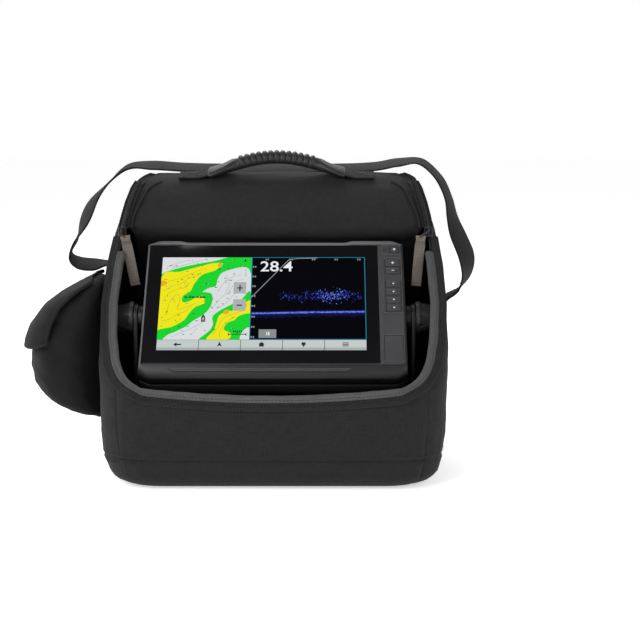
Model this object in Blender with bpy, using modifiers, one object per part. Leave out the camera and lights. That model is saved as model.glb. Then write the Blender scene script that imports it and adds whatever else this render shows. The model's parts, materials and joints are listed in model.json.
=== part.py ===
"""A portable fish finder: a 9 inch chart and sonar display on a tilting bail bracket, in a soft carry bag.

Run it with: blender --background --python part.py
Metres, +Z up. The origin is the middle of the bag's flat underside, and the screen faces -Y.
"""

import math

import bmesh
import bpy
from mathutils import Vector

MM = 0.001

# ---- driving dimensions ------------------------------------------------------------------------
GAP = 0.4 * MM  # clearance left between touching pieces
SEAM_GAP = 1.2 * MM  # gap between neighbouring bag panels
FABRIC = 3.6 * MM  # padded fabric wall

# The display turns about its knobs' axis. Its own frame is x right, y into the case, z up the screen.
TILT = math.radians(45)  # how far the screen leans back from upright
KNOB_AXIS = Vector((0, -8, 146)) * MM
CASE_W, CASE_H = 250 * MM, 158 * MM
CASE_CENTRE_Z = -5 * MM  # the case's middle, below the knobs' axis
CASE_BROW = 3.5 * MM  # how much further the case reaches above its middle than below it
FRONT_Y = -26 * MM  # the front face, ahead of the knobs' axis
BEZEL_BACK_Y = -10.6 * MM
HOUSING_FRONT_Y = -8.8 * MM
HOUSING_STEP_Y = 4 * MM
HOUSING_BACK_Y = 19 * MM
CASE_WALL = 2.6 * MM
FRONT_WALL = 5.5 * MM

GLASS_X = (-122 * MM, 99.3 * MM)
GLASS_Z = (-66 * MM, 73.6 * MM)  # above the case's middle
GLASS_T = 2 * MM
SCREEN_W, SCREEN_H, SCREEN_T = 196 * MM, 110 * MM, 6 * MM
SCREEN_X, SCREEN_Z = -11 * MM, 3.6 * MM

KEY_X = 113.8 * MM
KEY_W, KEY_H = 14.4 * MM, 7 * MM
KEY_FRONT_Y, KEY_BACK_Y = -27 * MM, -21.5 * MM
KEY_CLEARANCE = 0.35 * MM
POWER_KEY_W = 8.8 * MM
KEY_HEIGHTS = {  # each key's middle, above the case's middle
    "power_key": 68 * MM,
    "plus_key": 51.2 * MM,
    "minus_key": 42 * MM,
    "user_key_1": 26 * MM,
    "user_key_2": 16.5 * MM,
    "user_key_3": 7 * MM,
    "user_key_4": -2.5 * MM,
}

DOOR_X, DOOR_W = 112.6 * MM, 17.6 * MM
DOOR_Z = (-63.2 * MM, -34.4 * MM)
DOOR_T = 1.8 * MM

# cradle, bail and knobs
CRADLE_T = 5 * MM
EAR_X = (125.8 * MM, 130.8 * MM)
ARM_X = (131.3 * MM, 134.8 * MM)
KNOB_X = (135.6 * MM, 151 * MM)
KNOB_R = 16 * MM
STUD_R = 2.8 * MM
STUD_CLEARANCE = 0.3 * MM
BAIL_T = ARM_X[1] - ARM_X[0]
BAIL_FLOOR_Z = 46 * MM
BAIL_DEPTH = 40 * MM
BAIL_TOP_R = 14 * MM
SCREW_PLACES = [(x * MM, y * MM) for x in (-90, 90) for y in (-20, 4)]
SCREW_SHANK_R, SCREW_HEAD_R = 2.4 * MM, 4.6 * MM

# bag: one row for each level, z, half width, front y, back y, front and back corner radius
BAG_LEVELS = [
    (5.6, 147, -98, 114, 38, 36),
    (13, 155, -106, 121, 43, 38),
    (26, 158.5, -110, 125, 45, 38),
    (60, 161, -111.5, 127, 45, 38),
    (94, 161.5, -110, 128, 45, 38),
    (104, 162, -99.8, 128, 37, 38),
    (118, 162.5, -85.5, 128, 29, 38),
    (136, 163, -67, 128.5, 22, 38),
    (165, 163, -37.4, 129, 17, 38),
    (198, 161, -3.6, 129, 16, 37),
    (226, 156.5, 25, 128, 15, 35),
    (240, 153.5, 35, 127, 14, 32),
    (253, 150, 45.5, 124, 13, 26),
    (266, 145.5, 60, 118, 12, 20),
    (275, 139, 77, 111, 8, 12),
    (279, 130, 92, 103, 4, 5),
]
RIM_Z = 94  # top of the front wall, mm
RIM_SAG = 8  # how far its top edge sags between the corners, mm
SLIDER_Z = 226  # where the zips are open to, mm
SLIDER_AT = Vector((148.8, 18.6, 226.4))  # the right slider's middle, mm
FRONT_SEAM = 0.375  # where the front wall's seam lies on the corner arc, as a share of it
OPENING_EDGE = 0.3  # where the opening's edge lies on the corner arc, as a share of it
BOTTOM_T = 5 * MM
HANDLE_Y = 80  # mm
RIB_COUNT, RIB_PITCH = 13, 5.8  # mm
STRAP_WIDTH = 36 * MM
STRAP_STEPS = 3
STRAP_STOPS = [  # the strap's middle line in mm, and its width direction's x and z
    (-171, 72, 190, 0, 0), (-184, 72, 188, 0, -0.2), (-200, 71, 190, 0.05, -0.2), (-208.5, 70, 198, 0.1, -0.1),
    (-203, 70, 212, 0.05, 0), (-194, 71, 232, 0.4, 0.1), (-184, 76, 254, 0.42, 0.2), (-167, 85, 273, 0.15, 0.1),
    (-150, 98, 284, 0, -0.1), (-128, 110, 286, 0, -0.17), (-98, 114.5, 284, 0, -0.17), (-60, 115.5, 283, 0, -0.17),
    (0, 115.5, 283, 0, -0.17), (60, 115.5, 283, 0, -0.17), (98, 114.5, 284.5, 0, -0.17), (124, 109, 289, 0, -0.15),
    (146, 99, 289.5, -0.1, -0.1), (163, 88, 276, -0.25, 0), (173, 80, 256, -0.25, 0), (177.5, 74, 236, -0.35, 0),
    (183, 68, 218, -0.5, 0), (190.5, 62, 198, -0.5, 0), (190.5, 59, 180, -0.35, 0), (183, 58, 165, -0.15, 0),
    (170.5, 58, 156.5, 0, 0),
]

TRAY_TOP_Z = BAIL_FLOOR_Z - GAP
TRAY_WALL = 2.5 * MM
BATTERY = Vector((150, 86, 88)) * MM
BATTERY_FRONT_Y = 28 * MM
BATTERY_Z = 9 * MM

PALETTE = {  # colour, roughness, metallic
    "case_plastic": ((0.050, 0.051, 0.053), 0.45, 0),
    "housing_plastic": ((0.030, 0.030, 0.032), 0.5, 0),
    "key_rubber": ((0.045, 0.046, 0.048), 0.6, 0),
    "seal_rubber": ((0.012, 0.012, 0.012), 0.8, 0),
    "cover_glass": ((0.005, 0.005, 0.006), 0.06, 0),
    "screen": ((0.55, 0.62, 0.20), 0.4, 0),
    "circuit_board": ((0.02, 0.12, 0.05), 0.5, 0),
    "bracket_plastic": ((0.020, 0.020, 0.021), 0.5, 0),
    "steel": ((0.60, 0.60, 0.58), 0.3, 1),
    "black_metal": ((0.02, 0.02, 0.02), 0.35, 1),
    "bag_fabric": ((0.022, 0.022, 0.024), 0.85, 0),
    "binding": ((0.105, 0.105, 0.108), 0.9, 0),
    "zip": ((0.012, 0.012, 0.013), 0.6, 0),
    "pull_tape": ((0.17, 0.15, 0.13), 0.9, 0),
    "webbing": ((0.018, 0.018, 0.019), 0.85, 0),
    "grip_rubber": ((0.03, 0.03, 0.031), 0.45, 0),
    "tray_plastic": ((0.015, 0.015, 0.016), 0.55, 0),
    "battery_plastic": ((0.04, 0.04, 0.041), 0.4, 0),
    "terminal": ((0.5, 0.1, 0.08), 0.5, 0),
}


# ---- helpers -----------------------------------------------------------------------------------
def clear_scene():
    for old in list(bpy.data.objects):
        bpy.data.objects.remove(old)


def new_collection(name):
    group = bpy.data.collections.new(name)
    bpy.context.scene.collection.children.link(group)
    return group


def material(name):
    made = bpy.data.materials.get(name)
    if made is None:
        colour, roughness, metallic = PALETTE[name]
        made = bpy.data.materials.new(name)
        made.use_nodes = True
        shader = made.node_tree.nodes["Principled BSDF"]
        shader.inputs["Base Color"].default_value = (*colour, 1)
        shader.inputs["Roughness"].default_value = roughness
        shader.inputs["Metallic"].default_value = metallic
    return made


def add(name, mesh, finish, parent=None, group="fish_finder"):
    """Links a mesh as a named part, shaded smooth with sharp edges kept."""
    part = bpy.data.objects.new(name, mesh)
    bpy.data.collections[group].objects.link(part)
    if finish:
        mesh.materials.clear()
        mesh.materials.append(material(finish))
        mesh.shade_smooth()
        mesh.set_sharp_from_angle(angle=math.radians(35))
    else:
        part.hide_render = True
        part.display_type = "WIRE"
    part.parent = parent
    return part


def mesh_from(name, build):
    """A mesh made by build(bm), with its faces pointing out."""
    bm = bmesh.new()
    build(bm)
    bmesh.ops.recalc_face_normals(bm, faces=bm.faces)
    mesh = bpy.data.meshes.new(name)
    bm.to_mesh(mesh)
    bm.free()
    return mesh


def box_mesh(name, low, high):
    low, high = Vector(low), Vector(high)

    def build(bm):
        bmesh.ops.create_cube(bm, size=1)
        bmesh.ops.scale(bm, vec=high - low, verts=bm.verts)
        bmesh.ops.translate(bm, vec=(low + high) / 2, verts=bm.verts)

    return mesh_from(name, build)


def box(name, low, high, finish, parent=None, bevel=0.0, segments=2):
    part = add(name, box_mesh(name, low, high), finish, parent)
    if bevel:
        rounded(part, bevel, segments)
    return part


def rounded(part, width, segments=2):
    modifier = part.modifiers.new("rounded", "BEVEL")
    modifier.width = width
    modifier.segments = segments
    modifier.limit_method = "ANGLE"
    modifier.angle_limit = math.radians(40)


def cutter_box(low, high, parent=None):
    return add("cut", box_mesh("cut", low, high), None, parent, "cutters")


def rod_mesh(name, start, end, radius, segments=20, end_radius=None):
    """A cylinder or cone from start to end."""
    start, end = Vector(start), Vector(end)
    axis = end - start

    def build(bm):
        bmesh.ops.create_cone(
            bm,
            cap_ends=True,
            segments=segments,
            radius1=radius,
            radius2=radius if end_radius is None else end_radius,
            depth=axis.length,
        )
        turn = Vector((0, 0, 1)).rotation_difference(axis)
        bmesh.ops.rotate(bm, cent=(0, 0, 0), matrix=turn.to_matrix(), verts=bm.verts)
        bmesh.ops.translate(bm, vec=(start + end) / 2, verts=bm.verts)

    return mesh_from(name, build)


def rod(name, start, end, radius, finish, parent=None, segments=20, end_radius=None):
    return add(name, rod_mesh(name, start, end, radius, segments, end_radius), finish, parent)


def cutter_rod(start, end, radius, parent=None, segments=20):
    return add("cut", rod_mesh("cut", start, end, radius, segments), None, parent, "cutters")


def combine(part, other, operation="DIFFERENCE"):
    modifier = part.modifiers.new(operation.lower(), "BOOLEAN")
    modifier.operation = operation
    modifier.object = other
    return part


def join(part, low, high, parent=None):
    """Adds a box to a part."""
    return combine(part, cutter_box(low, high, parent), "UNION")


def cut(part, low, high, parent=None):
    """Cuts a box from a part."""
    return combine(part, cutter_box(low, high, parent))


def loft_mesh(name, sections):
    """A closed solid through sections that have the same number of points."""

    def build(bm):
        rings = [[bm.verts.new(p) for p in section] for section in sections]
        count = len(rings[0])
        for below, above in zip(rings, rings[1:]):
            for i in range(count):
                j = (i + 1) % count
                bm.faces.new((below[i], below[j], above[j], above[i]))
        bm.faces.new(rings[0])
        bm.faces.new(rings[-1])

    return mesh_from(name, build)


def outline_mesh(name, points, thickness):
    """A flat plate with this outline in x and y, its thickness along z about 0."""
    curve = bpy.data.curves.new(name, "CURVE")
    curve.dimensions = "2D"
    curve.fill_mode = "BOTH"
    curve.extrude = thickness / 2
    spline = curve.splines.new("POLY")
    spline.points.add(len(points) - 1)
    for point, (x, y) in zip(spline.points, points):
        point.co = (x, y, 0, 1)
    spline.use_cyclic_u = True
    helper = bpy.data.objects.new(name, curve)
    mesh = bpy.data.meshes.new_from_object(helper)
    bpy.data.objects.remove(helper)
    bpy.data.curves.remove(curve)
    bm = bmesh.new()
    bm.from_mesh(mesh)
    bmesh.ops.remove_doubles(bm, verts=bm.verts, dist=0.01 * MM)
    bmesh.ops.recalc_face_normals(bm, faces=bm.faces)
    bm.to_mesh(mesh)
    bm.free()
    return mesh


def rounded_rectangle(width, height, radius, steps=5, centre=(0, 0)):
    """The outline of a rectangle with round corners, anticlockwise."""
    points = []
    for quarter in range(4):
        sx = (1, -1, -1, 1)[quarter]
        sy = (1, 1, -1, -1)[quarter]
        cx = centre[0] + sx * (width / 2 - radius)
        cy = centre[1] + sy * (height / 2 - radius)
        for step in range(steps + 1):
            angle = math.radians(90 * (quarter + step / steps))
            points.append((cx + radius * math.cos(angle), cy + radius * math.sin(angle)))
    return points


def sheet(name, rows, thickness, finish, parent=None, offset=1.0):
    """A wall of even thickness over a grid of points."""

    def build(bm):
        grid = [[bm.verts.new(p) for p in row] for row in rows]
        for upper, lower in zip(grid, grid[1:]):
            for i in range(len(upper) - 1):
                bm.faces.new((upper[i], upper[i + 1], lower[i + 1], lower[i]))

    bm = bmesh.new()
    build(bm)
    mesh = bpy.data.meshes.new(name)
    bm.to_mesh(mesh)
    bm.free()
    part = add(name, mesh, finish, parent)
    wall = part.modifiers.new("wall", "SOLIDIFY")
    wall.thickness = thickness
    wall.offset = offset
    wall.use_even_offset = True
    wall.use_quality_normals = True
    return part


# ---- the bag's surface -------------------------------------------------------------------------
def bag_level(z):
    """The bag's plan at a height in mm: half width, front y, back y and the two corner radii."""
    for low, high in zip(BAG_LEVELS, BAG_LEVELS[1:]):
        if z <= high[0]:
            t = max(0.0, (z - low[0]) / (high[0] - low[0]))
            return [a + (b - a) * t for a, b in zip(low[1:], high[1:])]
    return list(BAG_LEVELS[-1][1:])


def bag_point(s, z):
    """A point on the bag's outside. s runs round its plan from the middle of the front towards +X:
    0 to 1 the front, 1 to 2 the corner, 2 to 3 the side, 3 to 4 the corner, 4 to 5 the back.
    A negative s is the same place on the other side."""
    w, front, back, rf, rb = bag_level(z)
    side, s = math.copysign(1, s), abs(s)
    if s <= 1:
        x, y = (w - rf) * s, front
    elif s <= 2:
        angle = (s - 1) * math.pi / 2
        x, y = w - rf + rf * math.sin(angle), front + rf * (1 - math.cos(angle))
    elif s <= 3:
        x, y = w, front + rf + (back - rb - front - rf) * (s - 2)
    elif s <= 4:
        angle = (s - 3) * math.pi / 2
        x, y = w - rb * (1 - math.cos(angle)), back - rb + rb * math.sin(angle)
    else:
        x, y = (w - rb) * (5 - s), back
    return Vector((side * x, y, z)) * MM


def stations(*stops, steps=4):
    """Values of s from stop to stop, with this many steps between two."""
    values = []
    for a, b in zip(stops, stops[1:]):
        values += [a + (b - a) * i / steps for i in range(steps)]
    return values + [stops[-1]]


def seam_shift(s, z, distance):
    """s moved along the plan by a distance in metres."""
    step = 0.01
    length = (bag_point(s + step, z) - bag_point(s, z)).length
    return s + step * distance / length


def levels_between(low, high):
    inner = [row[0] for row in BAG_LEVELS if low < row[0] < high]
    return [low, *inner, high]


# ---- display head ------------------------------------------------------------------------------
def case_outline(inset_side, inset_top, inset_bottom, corner, y):
    """The case's outline in its own frame, with cut corners and two raised shoulders on top."""
    half_w = CASE_W / 2 - inset_side
    top = CASE_CENTRE_Z + CASE_H / 2 + CASE_BROW - inset_top
    low = CASE_CENTRE_Z - CASE_H / 2 + inset_bottom
    dip = 2 * MM
    points = [
        (-half_w, low + corner * 0.5),
        (-half_w + corner, low),
        (half_w - corner, low),
        (half_w, low + corner * 0.5),
        (half_w, top - corner * 0.55),
        (half_w - corner * 1.35, top),
        (75 * MM, top),
        (68 * MM, top - dip),
        (-86 * MM, top - dip),
        (-93 * MM, top),
        (-half_w + corner * 1.35, top),
        (-half_w, top - corner * 0.55),
    ]
    return [Vector((x, y, z)) for x, z in points]


def make_front_bezel(frame):
    sections = [
        case_outline(2.4 * MM, 7.6 * MM, 12 * MM, 3 * MM, FRONT_Y),
        case_outline(0.8 * MM, 1.6 * MM, 4 * MM, 8 * MM, FRONT_Y + 2.4 * MM),
        case_outline(0, 0, 0, 10 * MM, FRONT_Y + 6 * MM),
        case_outline(0, 0, 0, 10 * MM, BEZEL_BACK_Y),
    ]
    bezel = add("front_bezel", loft_mesh("front_bezel", sections), "case_plastic", frame)
    z0 = CASE_CENTRE_Z
    cavity_w = CASE_W / 2 - CASE_WALL
    wall_back = FRONT_Y + FRONT_WALL
    cut(bezel, (-cavity_w, wall_back, z0 - 70 * MM), (cavity_w, 0, z0 + 72 * MM), frame)
    play = 0.3 * MM
    cut(
        bezel,
        (GLASS_X[0] - play, FRONT_Y - 5 * MM, z0 + GLASS_Z[0] - play),
        (GLASS_X[1] + play, FRONT_Y + GLASS_T + play, z0 + GLASS_Z[1] + play),
        frame,
    )
    hole_w, hole_h = SCREEN_W / 2 + 1.5 * MM, SCREEN_H / 2 + 1.5 * MM
    cut(
        bezel,
        (SCREEN_X - hole_w, FRONT_Y - 5 * MM, z0 + SCREEN_Z - hole_h),
        (SCREEN_X + hole_w, 0, z0 + SCREEN_Z + hole_h),
        frame,
    )
    for name, height in KEY_HEIGHTS.items():
        half_w, half_h = key_half_size(name)
        x, z = key_x(name), z0 + height
        cut(
            bezel,
            (x - half_w - KEY_CLEARANCE, FRONT_Y - 5 * MM, z - half_h - KEY_CLEARANCE),
            (x + half_w + KEY_CLEARANCE, wall_back + 1 * MM, z + half_h + KEY_CLEARANCE),
            frame,
        )
    cut(
        bezel,
        (DOOR_X - DOOR_W / 2 - play, FRONT_Y - 5 * MM, z0 + DOOR_Z[0] - play),
        (DOOR_X + DOOR_W / 2 + play, FRONT_Y + DOOR_T + play, z0 + DOOR_Z[1] + play),
        frame,
    )
    slot_z = (DOOR_Z[0] + DOOR_Z[1]) / 2
    cut(
        bezel,
        (DOOR_X - 6 * MM, FRONT_Y - 5 * MM, z0 + slot_z - 11 * MM),
        (DOOR_X + 6 * MM, wall_back + 1 * MM, z0 + slot_z + 11 * MM),
        frame,
    )
    return bezel


def key_half_size(name):
    width = POWER_KEY_W if name == "power_key" else KEY_W
    return width / 2, KEY_H / 2


def key_x(name):
    return KEY_X + (2 * MM if name == "power_key" else 0)


def make_keys(frame):
    for name, height in KEY_HEIGHTS.items():
        half_w, half_h = key_half_size(name)
        x, z = key_x(name), CASE_CENTRE_Z + height
        box(
            name,
            (x - half_w, KEY_FRONT_Y, z - half_h),
            (x + half_w, KEY_BACK_Y, z + half_h),
            "key_rubber",
            frame,
            bevel=0.9 * MM,
        )
    mat_z = (CASE_CENTRE_Z - 8 * MM, CASE_CENTRE_Z + 72 * MM - 1 * MM)
    box(
        "keypad_mat",
        (KEY_X - 8.6 * MM, FRONT_Y + FRONT_WALL + GAP, mat_z[0]),
        (KEY_X + 7.2 * MM, FRONT_Y + FRONT_WALL + 2 * MM, mat_z[1]),
        "seal_rubber",
        frame,
    )


def make_screen_stack(frame):
    z0 = CASE_CENTRE_Z
    box(
        "cover_glass",
        (GLASS_X[0], FRONT_Y, z0 + GLASS_Z[0]),
        (GLASS_X[1], FRONT_Y + GLASS_T, z0 + GLASS_Z[1]),
        "cover_glass",
        frame,
        bevel=0.4 * MM,
        segments=1,
    )
    front = FRONT_Y + GLASS_T + 0.6 * MM
    half_w, half_h = SCREEN_W / 2 + 1 * MM, SCREEN_H / 2 + 1 * MM
    box(
        "lcd_panel",
        (SCREEN_X - half_w, front, z0 + SCREEN_Z - half_h),
        (SCREEN_X + half_w, front + SCREEN_T, z0 + SCREEN_Z + half_h),
        "screen",
        frame,
    )
    board_y = -4 * MM
    board = box(
        "main_board",
        (-95 * MM, board_y, z0 - 52 * MM),
        (95 * MM, board_y + 1.6 * MM, z0 + 52 * MM),
        "circuit_board",
        frame,
    )
    chips = ((-60, -20, 34, 30), (10, 12, 24, 24), (58, -25, 20, 40), (-20, 30, 40, 12))
    for x, z, w, h in chips:
        join(
            board,
            ((x - w / 2) * MM, board_y + 1 * MM, z0 + (z - h / 2) * MM),
            ((x + w / 2) * MM, board_y + 5 * MM, z0 + (z + h / 2) * MM),
            frame,
        )


def make_card_door(frame):
    z0 = CASE_CENTRE_Z
    door = box(
        "card_door",
        (DOOR_X - DOOR_W / 2, FRONT_Y, z0 + DOOR_Z[0]),
        (DOOR_X + DOOR_W / 2, FRONT_Y + DOOR_T, z0 + DOOR_Z[1]),
        "case_plastic",
        frame,
        bevel=0.3 * MM,
        segments=1,
    )
    slot_z = z0 + (DOOR_Z[0] + DOOR_Z[1]) / 2
    reader = box(
        "card_reader",
        (DOOR_X - 8 * MM, FRONT_Y + FRONT_WALL + GAP, slot_z - 13 * MM),
        (DOOR_X + 6 * MM, FRONT_Y + FRONT_WALL + 9 * MM, slot_z + 13 * MM),
        "black_metal",
        frame,
    )
    for x in (-3.6 * MM, 1.6 * MM):
        cut(
            reader,
            (DOOR_X + x, FRONT_Y, slot_z - 11 * MM),
            (DOOR_X + x + 1.2 * MM, FRONT_Y + FRONT_WALL + 7.5 * MM, slot_z + 11 * MM),
            frame,
        )
    return door


def make_rear_housing(frame):
    sections = [
        case_outline(0, 0, 0, 10 * MM, HOUSING_FRONT_Y),
        case_outline(0, 0, 0, 10 * MM, HOUSING_STEP_Y),
        case_outline(9 * MM, 9 * MM, 9 * MM, 10 * MM, HOUSING_STEP_Y + 6 * MM),
        case_outline(20 * MM, 18 * MM, 18 * MM, 10 * MM, HOUSING_BACK_Y),
    ]
    housing = add("rear_housing", loft_mesh("rear_housing", sections), "housing_plastic", frame)
    z0 = CASE_CENTRE_Z
    cavity_w = CASE_W / 2 - CASE_WALL
    cut(
        housing,
        (-cavity_w, HOUSING_FRONT_Y - 5 * MM, z0 - 70 * MM),
        (cavity_w, HOUSING_STEP_Y - 1 * MM, z0 + 70 * MM),
        frame,
    )
    cut(
        housing,
        (-100 * MM, -1 * MM, z0 - 56 * MM),
        (100 * MM, HOUSING_BACK_Y - 3 * MM, z0 + 56 * MM),
        frame,
    )
    screw_y = HOUSING_STEP_Y
    for i, (x, z) in enumerate([(-112, -62), (112, -62), (-112, 58), (112, 58)]):
        place = Vector((x * MM, 0, z0 + z * MM))
        start, end = place + Vector((0, -7 * MM, 0)), place + Vector((0, screw_y + 2 * MM, 0))
        tower_start = place + Vector((0, HOUSING_FRONT_Y + 0.6 * MM, 0))
        tower = add(
            "tower",
            rod_mesh("tower", tower_start, end, 4.8 * MM, 16),
            None,
            frame,
            "cutters",
        )
        combine(housing, tower, "UNION")
        combine(
            housing,
            cutter_rod(start - Vector((0, 9 * MM, 0)), end + Vector((0, 20 * MM, 0)), 2 * MM, frame, 14),
        )
        combine(housing, cutter_rod(end, end + Vector((0, 30 * MM, 0)), 4.2 * MM, frame, 18))
        head_base = end + Vector((0, GAP, 0))
        screw = rod(
            f"case_screw_{i + 1}",
            head_base,
            head_base + Vector((0, 1.8 * MM, 0)),
            3.2 * MM,
            "steel",
            frame,
            16,
            2.7 * MM,
        )
        shank = add(
            "shank",
            rod_mesh("shank", start, head_base + Vector((0, 1 * MM, 0)), 1.6 * MM, 12),
            None,
            frame,
            "cutters",
        )
        combine(screw, shank, "UNION")


def make_gasket(frame):
    """The seal that is squeezed between the bezel and the rear housing."""
    low, high = BEZEL_BACK_Y + 0.3 * MM, HOUSING_FRONT_Y - 0.3 * MM
    outer = [case_outline(0.6 * MM, 0.6 * MM, 0.6 * MM, 10 * MM, y) for y in (low, high)]
    gasket = add("housing_gasket", loft_mesh("housing_gasket", outer), "seal_rubber", frame)
    z0 = CASE_CENTRE_Z
    half = CASE_W / 2 - 2.4 * MM
    cut(gasket, (-half, low - 2 * MM, z0 - 70.5 * MM), (half, high + 2 * MM, z0 + 70.5 * MM), frame)


# ---- cradle, bail and knobs --------------------------------------------------------------------
def make_cradle(frame):
    """The quick-release cradle behind the case, with an ear at each side for the knobs."""
    y0, y1 = HOUSING_BACK_Y + 0.6 * MM, HOUSING_BACK_Y + 0.6 * MM + CRADLE_T
    cradle = box("cradle_frame", (-60 * MM, y0, -46 * MM), (60 * MM, y1, 34 * MM), "bracket_plastic", frame)
    join(cradle, (-EAR_X[1], y0, -12 * MM), (EAR_X[1], y1 - 0.1 * MM, 12 * MM), frame)
    for side in (-1, 1):
        xs = sorted((side * EAR_X[0], side * EAR_X[1]))
        join(cradle, (xs[0], -1 * MM, -11.9 * MM), (xs[1] - 0.01 * MM, y1 - 0.2 * MM, 11.9 * MM), frame)
        boss = add(
            "boss",
            rod_mesh("boss", (xs[0] + 0.02 * MM, 0, 0), (xs[1] - 0.02 * MM, 0, 0), 12 * MM, 28),
            None,
            frame,
            "cutters",
        )
        combine(cradle, boss, "UNION")
    reach = EAR_X[1] + 5 * MM
    for side in (-1, 1):
        combine(
            cradle,
            cutter_rod(
                (side * reach, 0, 0),
                (side * (EAR_X[0] - 2 * MM), 0, 0),
                STUD_R + STUD_CLEARANCE,
                frame,
                24,
            ),
        )
    cut(cradle, (-16 * MM, y0 - 5 * MM, 22 * MM), (16 * MM, y1 + 5 * MM, 40 * MM), frame)
    for x in (-22, 22):
        combine(cradle, cutter_rod((x * MM, y0 - 5 * MM, -27 * MM), (x * MM, y1 + 5 * MM, -27 * MM), 7.4 * MM, frame, 24))
    rounded(cradle, 0.8 * MM, 1)
    latch = box(
        "cradle_latch",
        (-14 * MM, y0 + 0.5 * MM, 23 * MM),
        (14 * MM, y1 + 1.5 * MM, 52 * MM),
        "case_plastic",
        frame,
        bevel=1.2 * MM,
    )
    pin_y, pin_z = y0 + 3 * MM, 27 * MM
    combine(latch, cutter_rod((-30 * MM, pin_y, pin_z), (30 * MM, pin_y, pin_z), 1.5 * MM, frame, 16))
    rod("latch_pin", (-15.6 * MM, pin_y, pin_z), (15.6 * MM, pin_y, pin_z), 1.2 * MM, "steel", frame, 14)
    for name, x in (("power_socket", -22), ("sonar_socket", 22)):
        socket = rod(
            name,
            (x * MM, y0, -27 * MM),
            (x * MM, y1 + 7 * MM, -27 * MM),
            7 * MM,
            "housing_plastic",
            frame,
            24,
        )
        combine(socket, cutter_rod((x * MM, y0 + 3 * MM, -27 * MM), (x * MM, y1 + 20 * MM, -27 * MM), 5.2 * MM, frame, 20))


def make_bail():
    """The U bracket, cut to its side silhouette and drilled for the knobs and the four screws."""
    outer = rounded_rectangle(2 * ARM_X[1], 240 * MM, 9 * MM, 4, (0, BAIL_FLOOR_Z + 120 * MM))
    inner = rounded_rectangle(
        2 * ARM_X[0], 240 * MM, 5.5 * MM, 4, (0, BAIL_FLOOR_Z + BAIL_T + 120 * MM)
    )
    bail = add("bail_bracket", outline_mesh("bail_bracket", outer, BAIL_DEPTH), "bracket_plastic")
    hollow = add("cut", outline_mesh("cut", inner, 3 * BAIL_DEPTH), None, group="cutters")
    turn = math.radians(90)
    for piece in (bail, hollow):
        piece.rotation_euler = (turn, 0, 0)
        piece.location = (0, KNOB_AXIS.y, 0)
    combine(bail, hollow)
    top_r, half = BAIL_TOP_R, BAIL_DEPTH / 2 - 0.2 * MM
    side = [(-half, BAIL_FLOOR_Z - 5 * MM), (half, BAIL_FLOOR_Z - 5 * MM), (half, BAIL_FLOOR_Z + 14 * MM)]
    for step in range(9):
        angle = math.radians(180 * step / 8)
        side.append((top_r * math.cos(angle), KNOB_AXIS.z + top_r * math.sin(angle)))
    side.append((-half, BAIL_FLOOR_Z + 14 * MM))
    silhouette = add("cut", outline_mesh("cut", side, 2 * ARM_X[1] + 40 * MM), None, group="cutters")
    silhouette.rotation_euler = (turn, 0, turn)
    silhouette.location = (0, KNOB_AXIS.y, 0)
    combine(bail, silhouette, "INTERSECT")
    reach = ARM_X[1] + 20 * MM
    combine(
        bail,
        cutter_rod(
            (-reach, KNOB_AXIS.y, KNOB_AXIS.z),
            (reach, KNOB_AXIS.y, KNOB_AXIS.z),
            STUD_R + STUD_CLEARANCE,
            segments=24,
        ),
    )
    for x, y in SCREW_PLACES:
        combine(bail, cutter_rod((x, y, BAIL_FLOOR_Z - 9 * MM), (x, y, BAIL_FLOOR_Z + 9 * MM), 2.7 * MM, segments=16))
    for i, (x, y) in enumerate(SCREW_PLACES):
        seat = BAIL_FLOOR_Z + BAIL_T + GAP
        screw = rod(f"bail_screw_{i + 1}", (x, y, seat), (x, y, seat + 2.6 * MM), SCREW_HEAD_R, "steel", None, 18, 3.6 * MM)
        shank = add("shank", rod_mesh("shank", (x, y, seat - 14 * MM), (x, y, seat + 1 * MM), SCREW_SHANK_R, 14), None, group="cutters")
        combine(screw, shank, "UNION")


def make_knobs():
    """Each knob is a fluted cup moulded on a steel stud."""
    y, z = KNOB_AXIS.y, KNOB_AXIS.z
    for side, name in ((-1, "left"), (1, "right")):
        x0, x1 = side * KNOB_X[0], side * KNOB_X[1]
        skirt = x0 + side * 3.4 * MM
        knob = rod(f"knob_{name}", (x0, y, z), (skirt + side * 0.5 * MM, y, z), KNOB_R, "bracket_plastic", None, 32)
        crown = add("crown", rod_mesh("crown", (skirt, y, z), (x1, y, z), KNOB_R - 1.2 * MM, 32, KNOB_R - 3.4 * MM), None, group="cutters")
        combine(knob, crown, "UNION")
        for flute in range(8):
            angle = math.radians(45 * flute + 22.5)
            fy, fz = y + (KNOB_R + 1.2 * MM) * math.cos(angle), z + (KNOB_R + 1.2 * MM) * math.sin(angle)
            combine(knob, cutter_rod((skirt, fy, fz), (x1 + side * 5 * MM, fy, fz), 3.6 * MM, segments=12))
        bore_end = x0 + side * 9 * MM
        combine(knob, cutter_rod((x0 - side * 5 * MM, y, z), (bore_end, y, z), STUD_R + STUD_CLEARANCE, segments=20))
        rounded(knob, 0.5 * MM, 1)
        rod(
            f"knob_stud_{name}",
            (side * (EAR_X[0] + 0.4 * MM), y, z),
            (bore_end - side * GAP, y, z),
            STUD_R,
            "steel",
            None,
            20,
        )


# ---- bag ---------------------------------------------------------------------------------------
def make_bag_bottom():
    w, front, back, rf, _ = bag_level(BAG_LEVELS[0][0])
    outline = rounded_rectangle(2 * w * MM, (back - front) * MM, rf * MM, 5, (0, (back + front) / 2 * MM))
    bottom = add("bag_bottom", outline_mesh("bag_bottom", outline, BOTTOM_T), "bag_fabric")
    bottom.location = (0, 0, BOTTOM_T / 2)


def rim_height(s):
    """The front wall's top edge, which sags a little between its corners."""
    return RIM_Z - RIM_SAG * max(0.0, 1 - (abs(s) / 1.1) ** 2)


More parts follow.
